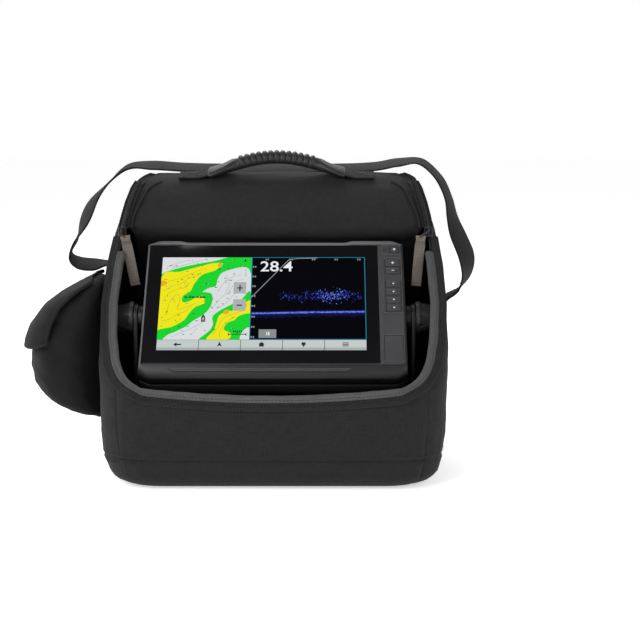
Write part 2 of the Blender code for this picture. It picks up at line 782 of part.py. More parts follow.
def panel(name, s_stops, low, high, steps=4, s_gap=(0, 0), top_edge=None):
    """One panel of the bag between two heights, with its two upright edges drawn in by a gap."""
    rows = []
    for z in levels_between(low, high):
        values = stations(*s_stops(z), steps=steps)
        values[0] = seam_shift(values[0], z, s_gap[0])
        values[-1] = seam_shift(values[-1], z, s_gap[1])
        rows.append([bag_point(s, top_edge(s) if top_edge and z == high else z) for s in values])
    return sheet(name, rows, FABRIC, "bag_fabric")


def make_bag_walls():
    half = SEAM_GAP / 2
    low, top = BAG_LEVELS[0][0], 275

    def front_stops(z):
        return (1 + FRONT_SEAM, 0.9, -0.9, -1 - FRONT_SEAM)

    def right_stops(z):
        return (3.5, 3, 2, 1 + (FRONT_SEAM if z <= RIM_Z else OPENING_EDGE))

    def left_stops(z):
        return tuple(-s for s in reversed(right_stops(z)))

    panel("bag_front_wall", front_stops, low, RIM_Z, 4, (-half, half), rim_height)
    panel("bag_side_right", right_stops, low, top, 4, (-half, half))
    panel("bag_side_left", left_stops, low, top, 4, (-half, half))
    make_back_wall(low, 266)


def make_back_wall(low, high):
    """The back wall runs round both rear corners as one piece."""
    rows = []
    for z in levels_between(low, high):
        right = [bag_point(s, z) for s in (seam_shift(3.5, z, SEAM_GAP / 2), 3.67, 3.83, 4, 4.5, 5)]
        left = [Vector((-p.x, p.y, p.z)) for p in right[:-1]]
        rows.append(left + right[::-1])
    return sheet("bag_back_wall", rows, FABRIC, "bag_fabric")


def top_flap_profile():
    """The flap from behind the display, up over its fold, and over the top to the back wall: (y, z) in mm."""
    return [
        (81, 152), (79, 172), (72, 190), (60, 205), (46, 216), (35, 223.5), (31, 232), (36, 241),
        (46, 253), (60, 266), (77, 275), (95, 279), (107.5, 276.5), (116.5, 270.2),
    ]


def flap_half_width(z):
    w, _, _, rf, _ = bag_level(max(z, SLIDER_Z))
    return (w - rf * (1 - math.sin(OPENING_EDGE * math.pi / 2))) * MM


def make_top_flap():
    rows = []
    for y, z in top_flap_profile():
        half = flap_half_width(z) - 2 * MM
        if y < 80 and z < SLIDER_Z - 4:
            half -= 6 * MM
        rows.append([Vector((half * i / 3, y * MM, z * MM)) for i in range(3, -4, -1)])
    return sheet("bag_top_flap", rows, FABRIC, "bag_fabric")


def opening_edge_route():
    """Points just outside the opening's edge from the left slider, down, along the front and up again,
    with the outward direction at each."""
    points = []
    for z in (208, 203, 198, 180, 165, 150, 136, 126, 118, 110, 104, 99):
        points.append((bag_point(-(1 + OPENING_EDGE), z), z))
    corner = bag_point(-(1 + FRONT_SEAM), RIM_Z)
    points.append((corner, RIM_Z))
    for s in (-1.2, -1.0, -0.75, -0.5, -0.25, 0.0):
        points.append((bag_point(s, rim_height(s)), RIM_Z))
    mirrored = [(Vector((-p.x, p.y, p.z)), z) for p, z in reversed(points[:-1])]
    return points + mirrored


def bag_normal(s, z):
    """The direction out of the bag at a point of its surface."""
    around = bag_point(s + 0.01, z) - bag_point(s - 0.01, z)
    upward = bag_point(s, z + 0.5) - bag_point(s, z - 0.5)
    return around.cross(upward).normalized()


def binding_rows():
    """Grosgrain binding on the opening's edge, standing just inside the wall."""
    rows = []
    for p, _ in opening_edge_route():
        at_side = abs(p.x) > 130 * MM
        inward = Vector((-0.75 * math.copysign(1, p.x) if at_side else 0, 0.35, 0)).normalized()
        slope = Vector((0, -0.7, 0.7)) if p.z > (RIM_Z + 3) * MM else Vector((0, -0.1, 1)).normalized()
        start = p + inward * 0.5 * MM + slope * 1.8 * MM
        rows.append([start, start + slope * 1.6 * MM + inward * 5.2 * MM])
    return rows


def make_zips_and_binding():
    sheet("rim_binding", [list(reversed(row)) for row in binding_rows()], 2.4 * MM, "binding", offset=0.0)
    for sign, name in ((-1, "left"), (1, "right")):
        rows = []
        for z in (232, 236, 240, 247, 253, 260, 266, 271):
            edge = 1 + OPENING_EDGE
            row = []
            for reach in (-4.6, 0, 4.6):
                s = seam_shift(edge, z, reach * MM)
                p = bag_point(s, z) + bag_normal(s, z) * 1.9 * MM
                row.append(Vector((sign * p.x, p.y, p.z)))
            rows.append(row)
        sheet(f"zip_{name}", rows, 1.6 * MM, "zip", offset=0.0)


def make_sliders():
    """A slider on each zip, and the tape pull that hangs from it, leaning a little."""
    for sign, name, lean in ((-1, "left", -12), (1, "right", 5)):
        place = Vector((sign * SLIDER_AT.x, SLIDER_AT.y, SLIDER_AT.z)) * MM
        low, high = Vector((-4, -2, -6)) * MM, Vector((4, 2, 5)) * MM
        slider = add(f"zip_slider_{name}", box_mesh("slider", low, high), "black_metal")
        rounded(slider, 0.9 * MM)
        slider.location = place
        slider.rotation_euler = (math.radians(-40), 0, 0)
        low, high = Vector((-5, -1.1, -48)) * MM, Vector((5, 1.1, 1)) * MM
        pull = add(f"zip_pull_{name}", box_mesh("pull", low, high), "pull_tape")
        rounded(pull, 0.5 * MM, 1)
        pull.location = place + Vector((-sign * 7.5, -7.4, -3)) * MM
        pull.rotation_euler = (0, math.radians(lean), 0)


def oval_section(centre, along, across, half_width, half_height, count=14):
    """A ring of points round a route, its width along across."""
    up = across.cross(along.normalized())
    return [
        centre
        + across * half_width * math.cos(2 * math.pi * i / count)
        + up * half_height * math.sin(2 * math.pi * i / count)
        for i in range(count)
    ]


def handle_height(x):
    """The height of the handle's middle line at x, both in mm."""
    reach = min(1.0, abs(x) / 82)
    return 277.9 + 17.1 * (0.5 + 0.5 * math.cos(math.pi * reach)) ** 0.72


def handle_across(x):
    """The handle's width direction: level in the middle, and following the bag's slope at the ends."""
    roll = math.radians(13) * min(1.0, max(0.0, (abs(x) - 44) / 30))
    return Vector((0, math.cos(roll), math.sin(roll)))


def handle_point(x):
    return Vector((x, HANDLE_Y, handle_height(x))) * MM


def make_handle():
    """A ribbed rubber grip moulded round the handle's webbing, which is sewn down at both ends."""
    xs = [-98, -90, -82, -77, -72, -68, -64, -58, -52, -46, -40, -26, -13, 0]
    xs += [-x for x in reversed(xs[:-1])]
    widths = [24 if abs(x) > 60 else 20 if abs(x) > 46 else 11 for x in xs]

    def ribbon(extra, thickness, name, finish):
        rows = []
        for x, width in zip(xs, widths):
            reach = handle_across(x) * (width / 2 + extra) * MM
            rows.append([handle_point(x) + reach, handle_point(x) - reach])
        return sheet(name, rows, thickness, finish, offset=0.0)

    ribbon(0, 1.8 * MM, "handle_webbing", "webbing")
    ribs = [(n - (RIB_COUNT - 1) / 2) * RIB_PITCH for n in range(RIB_COUNT)]
    end_places = [(-68, 14.5, 3.2), (-66, 15.5, 4.2), (-52, 14, 5), (-44, 10, 7)]  # x, half width, half height
    places = list(end_places)
    for x in ribs:
        places += [(x - 0.45 * RIB_PITCH, 7.2, 7), (x - 0.2 * RIB_PITCH, 8.6, 8.4), (x + 0.2 * RIB_PITCH, 8.6, 8.4)]
    places += [(-x, w, h) for x, w, h in reversed(end_places)]
    sections = []
    for x, half_width, half_height in places:
        along = handle_point(x + 1) - handle_point(x - 1)
        section = oval_section(handle_point(x), along, handle_across(x), half_width * MM, half_height * MM)
        sections.append(section)
    grip = add("carry_grip", loft_mesh("carry_grip", sections), "grip_rubber")
    slit = ribbon(0.6, 2.6 * MM, "cut_webbing", None)
    bpy.data.collections["fish_finder"].objects.unlink(slit)
    bpy.data.collections["cutters"].objects.link(slit)
    combine(grip, slit)


def strap_rows():
    """The shoulder strap's two edges, from the left ring over the top behind the handle to the right ring."""
    stops = [Vector(stop) for stop in STRAP_STOPS]
    ends = [stops[0] * 2 - stops[1], *stops, stops[-1] * 2 - stops[-2]]
    rows = []
    for a, b, c, d in zip(ends, ends[1:], ends[2:], ends[3:]):
        for step in range(STRAP_STEPS):
            t = step / STRAP_STEPS
            rows.append(
                0.5 * (2 * b + (c - a) * t + (2 * a - 5 * b + 4 * c - d) * t**2
                       + (3 * b - a - 3 * c + d) * t**3)
            )
    rows.append(stops[-1])
    edges = []
    for row in rows:
        centre = Vector(row[:3]) * MM
        ax, az = row[3], row[4]
        across = Vector((ax, -math.sqrt(max(0.0, 1 - ax * ax - az * az)), az)) * STRAP_WIDTH / 2
        edges.append([centre - across, centre + across])
    return edges


def make_strap_and_rings():
    sheet("shoulder_strap", strap_rows(), 1.8 * MM, "webbing", offset=0.0)
    for sign, name, y, z in ((-1, "left", 72, 191), (1, "right", 58, 155)):
        ring = bpy.data.curves.new(f"d_ring_{name}", "CURVE")
        ring.dimensions = "3D"
        ring.bevel_depth = 1.5 * MM
        ring.bevel_resolution = 1
        spline = ring.splines.new("POLY")
        outline = rounded_rectangle(30 * MM, 15 * MM, 6.5 * MM, 4)
        spline.points.add(len(outline) - 1)
        for point, (a, b) in zip(spline.points, outline):
            point.co = (0, a, b, 1)
        spline.use_cyclic_u = True
        helper = bpy.data.objects.new("ring_helper", ring)
        mesh = bpy.data.meshes.new_from_object(helper)
        bpy.data.objects.remove(helper)
        part = add(f"d_ring_{name}", mesh, "black_metal")
        part.location = Vector((sign * 167.4, y, z - 14)) * MM
        part.rotation_euler = (0, sign * math.radians(-12), 0)


def make_side_pouch():
    """The soft pouch on the left side, full and sagging, with its flap over the top."""
    sections = []
    centre_y = 10
    shape = [  # z, reach out from the bag, half length along y
        (48, 4, 26), (54, 24, 42), (62, 46, 52), (78, 68, 57), (102, 75, 59), (126, 74, 59),
        (141, 68, 58), (158, 56, 55), (168, 42, 50), (178, 24, 44), (184, 10, 34),
    ]
    for z, reach, half in shape:
        ring = []
        for step in range(16):
            angle = 2 * math.pi * step / 16
            across = math.sin(angle)
            along = math.cos(angle)
            squash = math.copysign(abs(along) ** 0.75, along)
            x = -164.6 - max(0.0, reach * (0.5 + 0.5 * math.copysign(abs(across) ** 0.8, across)))
            ring.append(Vector((x, centre_y + half * squash, z)) * MM)
        sections.append(ring)
    return add("side_pouch", loft_mesh("side_pouch", sections), "bag_fabric")


# ---- tray and battery --------------------------------------------------------------------------
def make_tray():
    floor_low, floor_high = BOTTOM_T + GAP, BOTTOM_T + GAP + TRAY_WALL
    outline = rounded_rectangle(266 * MM, 194 * MM, 34 * MM, 4, (0, 7.5 * MM))
    tray = add("base_tray", outline_mesh("base_tray", outline, TRAY_WALL), "tray_plastic")
    mid = (floor_low + floor_high) / 2
    tray.location = (0, 0, mid)

    def local(x, y, z):
        return (x * MM, y * MM, z * MM)

    front, back, half = -62, 24, 135.5
    join(tray, local(-half, front, 6), (half * MM, back * MM, TRAY_TOP_Z))
    wall = TRAY_WALL / MM
    cut(tray, local(-half + wall, front + wall, 0), (half * MM - TRAY_WALL, back * MM - TRAY_WALL, TRAY_TOP_Z - TRAY_WALL))
    for x in (-80, 77.6):
        join(tray, local(x, back - 2, 6.3), local(x + 2.4, 96, 30))
    for x, y in SCREW_PLACES:
        combine(tray, cutter_rod((x, y, TRAY_TOP_Z - 9 * MM), (x, y, TRAY_TOP_Z + 9 * MM), 2.7 * MM, segments=14))


def make_battery():
    """The sealed battery that stands behind the display, under a hook-and-loop strap."""
    half = BATTERY.x / 2
    y0, y1 = BATTERY_FRONT_Y, BATTERY_FRONT_Y + BATTERY.y
    top = BATTERY_Z + BATTERY.z
    case = box("battery_case", (-half + 2 * MM, y0 + 2 * MM, BATTERY_Z), (half - 2 * MM, y1 - 2 * MM, top), "battery_plastic")
    for x in (-26, 22):
        for y in (y0 - 1 * MM, y1 - 3.4 * MM):
            cut(case, (x * MM, y, BATTERY_Z + 6 * MM), (x * MM + 5 * MM, y + 4.4 * MM, top - 10 * MM))
    rounded(case, 1.2 * MM, 2)
    box("battery_lid", (-half, y0, top + GAP), (half, y1, top + 11 * MM), "battery_plastic", bevel=1.2 * MM)
    for name, x in (("plus", -48), ("minus", 48)):
        base = top + 11 * MM + GAP
        terminal = box(
            f"battery_terminal_{name}",
            (x * MM - 5 * MM, y0 + 18 * MM, base),
            (x * MM + 5 * MM, y0 + 30 * MM, base + 3 * MM),
            "terminal",
        )
        join(terminal, (x * MM - 0.4 * MM, y0 + 20 * MM, base + 1 * MM), (x * MM + 0.4 * MM, y0 + 27 * MM, base + 8 * MM))


def main():
    clear_scene()
    new_collection("fish_finder")
    new_collection("cutters")
    frame = bpy.data.objects.new("display_frame", None)
    bpy.data.collections["fish_finder"].objects.link(frame)
    frame.location = KNOB_AXIS
    frame.rotation_euler = (-TILT, 0, 0)
    make_front_bezel(frame)
    make_keys(frame)
    make_screen_stack(frame)
    make_card_door(frame)
    make_rear_housing(frame)
    make_gasket(frame)
    make_cradle(frame)
    make_bail()
    make_knobs()
    make_bag_bottom()
    make_bag_walls()
    make_top_flap()
    make_zips_and_binding()
    make_sliders()
    make_handle()
    make_strap_and_rings()
    make_side_pouch()
    make_tray()
    make_battery()
    bpy.context.view_layer.update()


main()
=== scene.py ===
import json
import math
import random

import bmesh
import bpy
from mathutils import Matrix, Vector, noise


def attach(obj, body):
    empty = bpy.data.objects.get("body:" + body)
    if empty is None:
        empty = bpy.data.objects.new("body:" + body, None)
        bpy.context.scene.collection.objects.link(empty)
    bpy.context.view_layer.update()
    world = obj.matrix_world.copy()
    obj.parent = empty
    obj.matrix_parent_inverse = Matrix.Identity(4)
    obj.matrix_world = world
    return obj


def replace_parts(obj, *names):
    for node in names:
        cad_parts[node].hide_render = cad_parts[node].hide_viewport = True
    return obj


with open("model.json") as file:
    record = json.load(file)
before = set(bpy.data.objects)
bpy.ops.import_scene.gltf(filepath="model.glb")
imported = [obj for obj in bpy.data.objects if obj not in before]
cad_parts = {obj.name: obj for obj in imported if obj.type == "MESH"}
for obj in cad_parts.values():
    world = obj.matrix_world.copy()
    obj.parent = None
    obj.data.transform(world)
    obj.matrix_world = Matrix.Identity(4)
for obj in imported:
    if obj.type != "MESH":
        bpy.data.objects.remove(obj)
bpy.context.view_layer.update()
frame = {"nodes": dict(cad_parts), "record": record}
nodes = frame["nodes"]
mm = 0.001
print("frame loaded")

# camera, light and floor
studio = {
    "target": (0.0435, -0.030, 0.1473),
    "distance": 1.433,
    "elevation": 9,
    "lens": 84.8,
    "lamps": (  # name, place, power and size
        ("keyLight", (-0.85, -1.25, 1.0), 17, 0.9),
        ("fillLight", (1.3, -0.9, 0.6), 6, 0.9),
        ("topLight", (-0.1, 0.9, 1.4), 15, 0.9),
        ("sideLight", (-1.5, 0.4, 0.5), 6, 0.7),
    ),
    "overhead": (0.35, 0.95, 0.1),  # where the dimming overhead starts and ends, and what it falls to
    "floorColour": (0.86, 0.86, 0.86),
    "floorGlow": 0.52,
    "floorReach": 6,
}


def makeStudio():
    camera = bpy.data.objects.new("camera", bpy.data.cameras.new("camera"))
    bpy.context.scene.collection.objects.link(camera)
    rise = math.radians(studio["elevation"])
    back = Vector((0, -math.cos(rise), math.sin(rise))) * studio["distance"]
    camera.location = Vector(studio["target"]) + back
    camera.rotation_euler = (math.pi / 2 - rise, 0, 0)
    camera.data.lens = studio["lens"]
    camera.data.sensor_width = 36
    camera.data.clip_start = 0.05
    bpy.context.scene.camera = camera
    bpy.context.scene.view_settings.view_transform = "Standard"
    for name, place, power, size in studio["lamps"]:
        lamp = bpy.data.lights.new(name, "AREA")
        lamp.energy = power
        lamp.size = size
        holder = bpy.data.objects.new(name, lamp)
        bpy.context.scene.collection.objects.link(holder)
        holder.location = place
        aim = Vector((0, 0, 0.14)) - Vector(place)
        holder.rotation_euler = aim.to_track_quat("-Z", "Y").to_euler()
    world = bpy.data.worlds.new("studio")
    world.use_nodes = True
    # bright all round, dimmer overhead so that the leaning glass stays dark
    links, add = world.node_tree.links, world.node_tree.nodes.new
    place, split, ramp = add("ShaderNodeTexCoord"), add("ShaderNodeSeparateXYZ"), add("ShaderNodeValToRGB")
    starts, ends, dim = studio["overhead"]
    stops = ramp.color_ramp.elements
    stops[0].position, stops[0].color = starts, (1, 1, 1, 1)
    stops[1].position, stops[1].color = ends, (dim, dim, dim, 1)
    links.new(place.outputs["Generated"], split.inputs[0])
    links.new(split.outputs[2], ramp.inputs[0])
    links.new(ramp.outputs[0], world.node_tree.nodes["Background"].inputs["Color"])
    world.node_tree.nodes["Background"].inputs["Strength"].default_value = 1.0
    bpy.context.scene.world = world
    mesh = bpy.data.meshes.new("floor")
    reach = studio["floorReach"]
    corners = [(-reach, -reach, 0), (reach, -reach, 0), (reach, reach, 0), (-reach, reach, 0)]
    mesh.from_pydata(corners, [], [(0, 1, 2, 3)])
    floor = bpy.data.objects.new("floor", mesh)
    bpy.context.scene.collection.objects.link(floor)
    paint = bpy.data.materials.new("floorPaint")
    paint.use_nodes = True
    shader = paint.node_tree.nodes["Principled BSDF"]
    shader.inputs["Base Color"].default_value = (*studio["floorColour"], 1)
    shader.inputs["Roughness"].default_value = 0.8
    shader.inputs["Emission Color"].default_value = (1, 1, 1, 1)
    shader.inputs["Emission Strength"].default_value = studio["floorGlow"]
    mesh.materials.append(paint)


makeStudio()
print("studio ready")


# shader maths
class Flow:  # an output of a shader node; + - * > on it add Math nodes
    def __init__(self, finish, socket):
        self.finish = finish
        self.socket = socket

    def maths(self, operation, *values):
        return self.finish.node("ShaderNodeMath", {"operation": operation}, values)

    def __add__(self, other):
        return self.maths("ADD", self, other)

    def __radd__(self, other):
        return self.maths("ADD", other, self)

    def __sub__(self, other):
        return self.maths("SUBTRACT", self, other)

    def __rsub__(self, other):
        return self.maths("SUBTRACT", other, self)

    def __mul__(self, other):
        return self.maths("MULTIPLY", self, other)

    def __rmul__(self, other):
        return self.maths("MULTIPLY", other, self)

    def __gt__(self, other):
        return self.maths("GREATER_THAN", self, other)


class Finish:  # one material; node() adds any node to it
    def __init__(self, name, **fixed):
        self.material = bpy.data.materials.new(name)
        self.material.use_nodes = True
        self.tree = self.material.node_tree
        self.shader = self.tree.nodes["Principled BSDF"]
        for socket, value in fixed.items():
            self.set(socket, value)

    def node(self, kind, settings=None, values=(), output=0):
        made = self.tree.nodes.new(kind)
        for key, value in (settings or {}).items():
            if key == "stops":
                fillRamp(made.color_ramp, value)
            else:
                setattr(made, key, value)
        pairs = values.items() if isinstance(values, dict) else enumerate(values)
        for key, value in pairs:
            if isinstance(value, Flow):
                self.tree.links.new(value.socket, made.inputs[key])
            elif value is not None:
                made.inputs[key].default_value = value
        return Flow(self, made.outputs[output])

    def set(self, socket, value):
        target = self.shader.inputs[socket.replace("_", " ")]
        if isinstance(value, Flow):
            self.tree.links.new(value.socket, target)
        else:
            target.default_value = (*value, 1) if isinstance(value, tuple) and len(value) == 3 else value

    def objectPoint(self):
        return self.node("ShaderNodeTexCoord", output="Object")

    def uvPoint(self):
        return self.node("ShaderNodeUVMap", {"uv_map": "cloth"})

    def split(self, point):
        parts = self.node("ShaderNodeSeparateXYZ", values=(point,))
        return [Flow(self, parts.socket.node.outputs[i]) for i in range(3)]

    def scaled(self, point, scale):
        return self.node("ShaderNodeVectorMath", {"operation": "MULTIPLY"}, (point, scale))

    def clouds(self, point, scale, detail=3.0, roughness=0.55):
        return self.node(
            "ShaderNodeTexNoise", values={"Vector": point, "Scale": scale, "Detail": detail, "Roughness": roughness}
        )

    def ramp(self, value, stops):
        return self.node("ShaderNodeValToRGB", {"stops": stops}, (value,))

    def blend(self, factor, first, second, mode="MIX"):
        first = (*first, 1) if isinstance(first, tuple) else first
        second = (*second, 1) if isinstance(second, tuple) else second
        return self.node(
            "ShaderNodeMix", {"data_type": "RGBA", "blend_type": mode}, {0: factor, 6: first, 7: second}, output=2
        )

    def bump(self, height, strength, distance, under=None):
        values = {"Strength": strength, "Distance": distance, "Height": height}
        if under:
            values["Normal"] = under
        return self.node("ShaderNodeBump", values=values)


def fillRamp(ramp, stops):
    while len(ramp.elements) < len(stops):
        ramp.elements.new(0.5)
    for element, (position, colour) in zip(ramp.elements, stops):
        element.position = position
        element.color = (*colour, 1) if isinstance(colour, tuple) else (colour, colour, colour, 1)


def grey(value):
    return (value, value, value)


# finishes
def wovenCloth(name, dark, light, pitch, roughness=0.82, depth=0.00022, sheen=0.02, creases=0.6):
    # plain weave on the piece's own UV map, in metres
    made = Finish(name, Roughness=roughness, Sheen_Weight=sheen, Sheen_Roughness=0.5)
    made.set("Specular_IOR_Level", 0.16)
    uv = made.uvPoint()
    x, y, _ = made.split(uv)
    warp = (x * (math.pi / pitch)).maths("SINE", x * (math.pi / pitch))
    weft = (y * (math.pi / pitch)).maths("SINE", y * (math.pi / pitch))
    overUnder = (warp * weft) > 0
    warpHill = warp.maths("ABSOLUTE", warp)
    weftHill = weft.maths("ABSOLUTE", weft)
    hill = overUnder * warpHill + (1 - overUnder) * weftHill
    large = made.clouds(uv, 22, 4)
    fine = made.clouds(uv, 900, 2)
    warpSlubs = made.clouds(made.scaled(uv, (1400, 90, 1)), 1, 2)
    weftSlubs = made.clouds(made.scaled(uv, (90, 1400, 1)), 1, 2)
    slubs = (warpSlubs + weftSlubs) * 0.5
    tone = hill * 0.35 + large * 0.3 + fine * 0.1 + slubs * 1.3 - 0.5
    made.set("Base_Color", made.ramp(tone, ((0.12, dark), (0.8, light))))
    made.set("Roughness", 0.15 * large + (roughness - 0.08))
    soft = made.bump(large, creases * 0.25, 0.004)
    threads = made.bump(slubs, 0.5, 0.0004, soft)
    made.set("Normal", made.bump(hill, 0.55, depth, threads))
    return made.material


def mouldedPlastic(name, colour, roughness=0.45, grain=2600, depth=0.00006, wear=0.12, specular=0.3):
    # fine spark-eroded texture, with paler rubbed patches spread at random
    made = Finish(name)
    made.set("Specular_IOR_Level", specular)
    point = made.objectPoint()
    large = made.clouds(point, 14, 4)
    fine = made.clouds(point, grain, 2)
    rubbed = made.clouds(point, 55, 5, 0.7)
    lighter = tuple(min(1, c * (1 + wear * 3) + wear * 0.03) for c in colour)
    darker = tuple(c * (1 - wear) for c in colour)
    made.set("Base_Color", made.blend(large * 0.6 + rubbed * 0.4, darker, lighter))
    made.set("Roughness", (roughness - 0.08) + rubbed * 0.16)
    made.set("Normal", made.bump(fine, 0.35, depth))
    return made.material


def metalFinish(name, colour, roughness, scratch=0.15):
    made = Finish(name, Metallic=1.0)
    point = made.objectPoint()
    streaks = made.clouds(made.scaled(point, (3000, 160, 160)), 1, 3)
    large = made.clouds(point, 40, 4)
    paler = tuple(min(1, c * 1.25) for c in colour)
    made.set("Base_Color", made.blend(large, colour, paler))
    made.set("Roughness", (roughness - scratch / 2) + streaks * scratch)
    made.set("Normal", made.bump(streaks, 0.15, 0.00003))
    return made.material


def rubberFinish(name, colour, roughness=0.6, shine=0.0):
    made = Finish(name, Coat_Weight=shine, Coat_Roughness=0.2, Specular_IOR_Level=0.3)
    point = made.objectPoint()
    large = made.clouds(point, 30, 4)
    fine = made.clouds(point, 1800, 2)
    paler = tuple(min(1, c * 1.5) for c in colour)
    made.set("Base_Color", made.blend(large, colour, paler))
    made.set("Roughness", (roughness - 0.1) + large * 0.2)
    made.set("Normal", made.bump(fine, 0.25, 0.00005))
    return made.material


def glassFinish(name):
    made = Finish(name, Specular_IOR_Level=0.12)
    point = made.objectPoint()
    smear = made.clouds(point, 18, 4, 0.6)
    made.set("Base_Color", made.blend(smear, (0.0025, 0.0025, 0.003), (0.006, 0.006, 0.007)))
    made.set("Roughness", 0.05 + smear * 0.08)
    return made.material


def glowFinish(name, colour, strength=1.0, base=0.02, roughness=0.25):
    # a lit patch of the screen, with the panel's fine rows of dots
    made = Finish(name, Roughness=roughness, Emission_Strength=strength, Specular_IOR_Level=0.1)
    point = made.objectPoint()
    dots = made.clouds(point, 2400, 1)
    dim = tuple(c * 0.93 for c in colour)
    made.set("Emission_Color", made.blend(dots, dim, colour))
    made.set("Base_Color", tuple(c * base for c in colour))
    return made.material


bagCloth = wovenCloth("bagCloth", grey(0.0022), grey(0.0165), 0.0011, creases=1.1)
# the pouch's cloth: the bag's cloth made darker all over, as painted shade
shadedPouchCloth = wovenCloth("shadedPouchCloth", grey(0.0012), grey(0.0085), 0.0011, creases=1.4)
bindingTape = wovenCloth("bindingTape", grey(0.024), grey(0.085), 0.0016, 0.85, 0.0004)
strapWebbing = wovenCloth("strapWebbing", grey(0.0012), grey(0.0065), 0.0018, 0.8, 0.0005)
zipTape = wovenCloth("zipTape", grey(0.003), grey(0.010), 0.0012, 0.8, 0.0003)
pullTape = wovenCloth("pullTape", (0.060, 0.050, 0.043), (0.165, 0.142, 0.125), 0.0014, 0.9, 0.0004)
threadFinish = rubberFinish("thread", grey(0.016), 0.7)
coilFinish = rubberFinish("zipCoil", grey(0.010), 0.35)
casePlastic = mouldedPlastic("casePlastic", (0.034, 0.034, 0.036), 0.40)
# a paler copy of the case's plastic, painted on its top and left bevels as highlight
bezelPaintedHighlight = mouldedPlastic("bezelPaintedHighlight", (0.145, 0.145, 0.148), 0.38, wear=0.06)
housingPlastic = mouldedPlastic("housingPlastic", (0.012, 0.012, 0.013), 0.5)
bracketPlastic = mouldedPlastic("bracketPlastic", (0.008, 0.008, 0.0085), 0.42)
knobPlastic = mouldedPlastic("knobPlastic", (0.022, 0.022, 0.023), 0.38)
trayPlastic = mouldedPlastic("trayPlastic", (0.004, 0.004, 0.0045), 0.6, 900, 0.0002)
batteryPlastic = mouldedPlastic("batteryPlastic", (0.020, 0.020, 0.021), 0.38)
keyRubber = rubberFinish("keyRubber", (0.026, 0.026, 0.028), 0.5)
sealRubber = rubberFinish("sealRubber", grey(0.012), 0.75)
gripRubber = rubberFinish("gripRubber", grey(0.009), 0.5, 0.05)
steelFinish = metalFinish("steel", (0.52, 0.52, 0.50), 0.32)
blackMetal = metalFinish("blackMetal", (0.035, 0.035, 0.037), 0.30)
terminalMetal = metalFinish("terminalMetal", (0.62, 0.58, 0.50), 0.35)
coverGlass = glassFinish("coverGlass")
trimPlastic = mouldedPlastic("trimPlastic", (0.050, 0.050, 0.052), 0.36)
markPaint = rubberFinish("markPaint", (0.42, 0.42, 0.42), 0.5)
boardFinish = mouldedPlastic("boardFinish", (0.010, 0.075, 0.030), 0.4, 400)
print("finishes ready")


# helpers for meshes
def addPiece(name, mesh, finish, body, smooth=40):
    piece = bpy.data.objects.new(name, mesh)
    bpy.context.scene.collection.objects.link(piece)
    if finish:
        mesh.materials.clear()
        mesh.materials.append(finish)
    if smooth:
        mesh.shade_smooth()
        mesh.set_sharp_from_angle(angle=math.radians(smooth))
    if body:
        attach(piece, body)
    return piece


def meshFrom(name, build):
    bm = bmesh.new()
    build(bm)
    bmesh.ops.recalc_face_normals(bm, faces=bm.faces)
    mesh = bpy.data.meshes.new(name)
    bm.to_mesh(mesh)
    bm.free()
    return mesh


def applied(piece):
    # the object's evaluated mesh takes the place of its own, and its modifiers go
    graph = bpy.context.evaluated_depsgraph_get()
    mesh = bpy.data.meshes.new_from_object(piece.evaluated_get(graph))
    piece.modifiers.clear()
    piece.data = mesh
    return piece


def clothUv(bm):
    return bm.loops.layers.uv.new("cloth")


def gridPiece(name, rows, thickness, finish, body, offset=1.0):
    # an even wall over a grid of points, with a UV map in metres
    bm = bmesh.new()
    uv = clothUv(bm)
    across = [0.0]
    middle = rows[len(rows) // 2]
    for a, b in zip(middle, middle[1:]):
        across.append(across[-1] + (b - a).length)
    up = [0.0]
    half = len(middle) // 2
    for a, b in zip(rows, rows[1:]):
        up.append(up[-1] + (b[half] - a[half]).length)
    grid = [[bm.verts.new(p) for p in row] for row in rows]
    for j in range(len(grid) - 1):
        for i in range(len(middle) - 1):
            face = bm.faces.new((grid[j][i], grid[j][i + 1], grid[j + 1][i + 1], grid[j + 1][i]))
            for loop, (u, v) in zip(face.loops, ((i, j), (i + 1, j), (i + 1, j + 1), (i, j + 1))):
                loop[uv].uv = (across[u], up[v])
    mesh = bpy.data.meshes.new(name)
    bm.to_mesh(mesh)
    bm.free()
    piece = addPiece(name, mesh, finish, None)
    wall = piece.modifiers.new("wall", "SOLIDIFY")
    wall.thickness = thickness
    wall.offset = offset
    wall.use_even_offset = False
    applied(piece)
    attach(piece, body)
    return piece


def sweptPiece(name, sections, finish, body, smooth=50, closed=False):
    # a closed solid through rings of points, with a UV map in metres
    def build(bm):
        uv = clothUv(bm)
        count = len(sections[0])
        rings = [[bm.verts.new(p) for p in ring] for ring in sections]
        along = [0.0]
        for a, b in zip(sections, sections[1:]):
            along.append(along[-1] + (b[0] - a[0]).length)
        round_ = [0.0]
        for i in range(count):
            round_.append(round_[-1] + (sections[0][(i + 1) % count] - sections[0][i]).length)
        for j in range(len(rings) - 1):
            for i in range(count):
                k = (i + 1) % count
                face = bm.faces.new((rings[j][i], rings[j][k], rings[j + 1][k], rings[j + 1][i]))
                places = ((i, j), (i + 1, j), (i + 1, j + 1), (i, j + 1))
                for loop, (a, b) in zip(face.loops, places):
                    loop[uv].uv = (round_[a], along[b])
        if not closed:
            bm.faces.new(rings[0])
            bm.faces.new(rings[-1])

    return addPiece(name, meshFrom(name, build), finish, body, smooth)


def smoothStops(stops, steps):
    # Catmull-Rom through vectors of any length
    stops = [Vector(stop) for stop in stops]
    ends = [stops[0] * 2 - stops[1], *stops, stops[-1] * 2 - stops[-2]]
    found = []
    for a, b, c, d in zip(ends, ends[1:], ends[2:], ends[3:]):
        for step in range(steps):
            t = step / steps
            curve = 2 * b + (c - a) * t + (2 * a - 5 * b + 4 * c - d) * t**2 + (3 * b - a - 3 * c + d) * t**3
            found.append(curve * 0.5)
    found.append(stops[-1])
    return found


def pebble(point, scale, seed=0.0):
    return noise.noise(Vector(point) * scale + Vector((seed, seed * 0.7, seed * 1.3)))


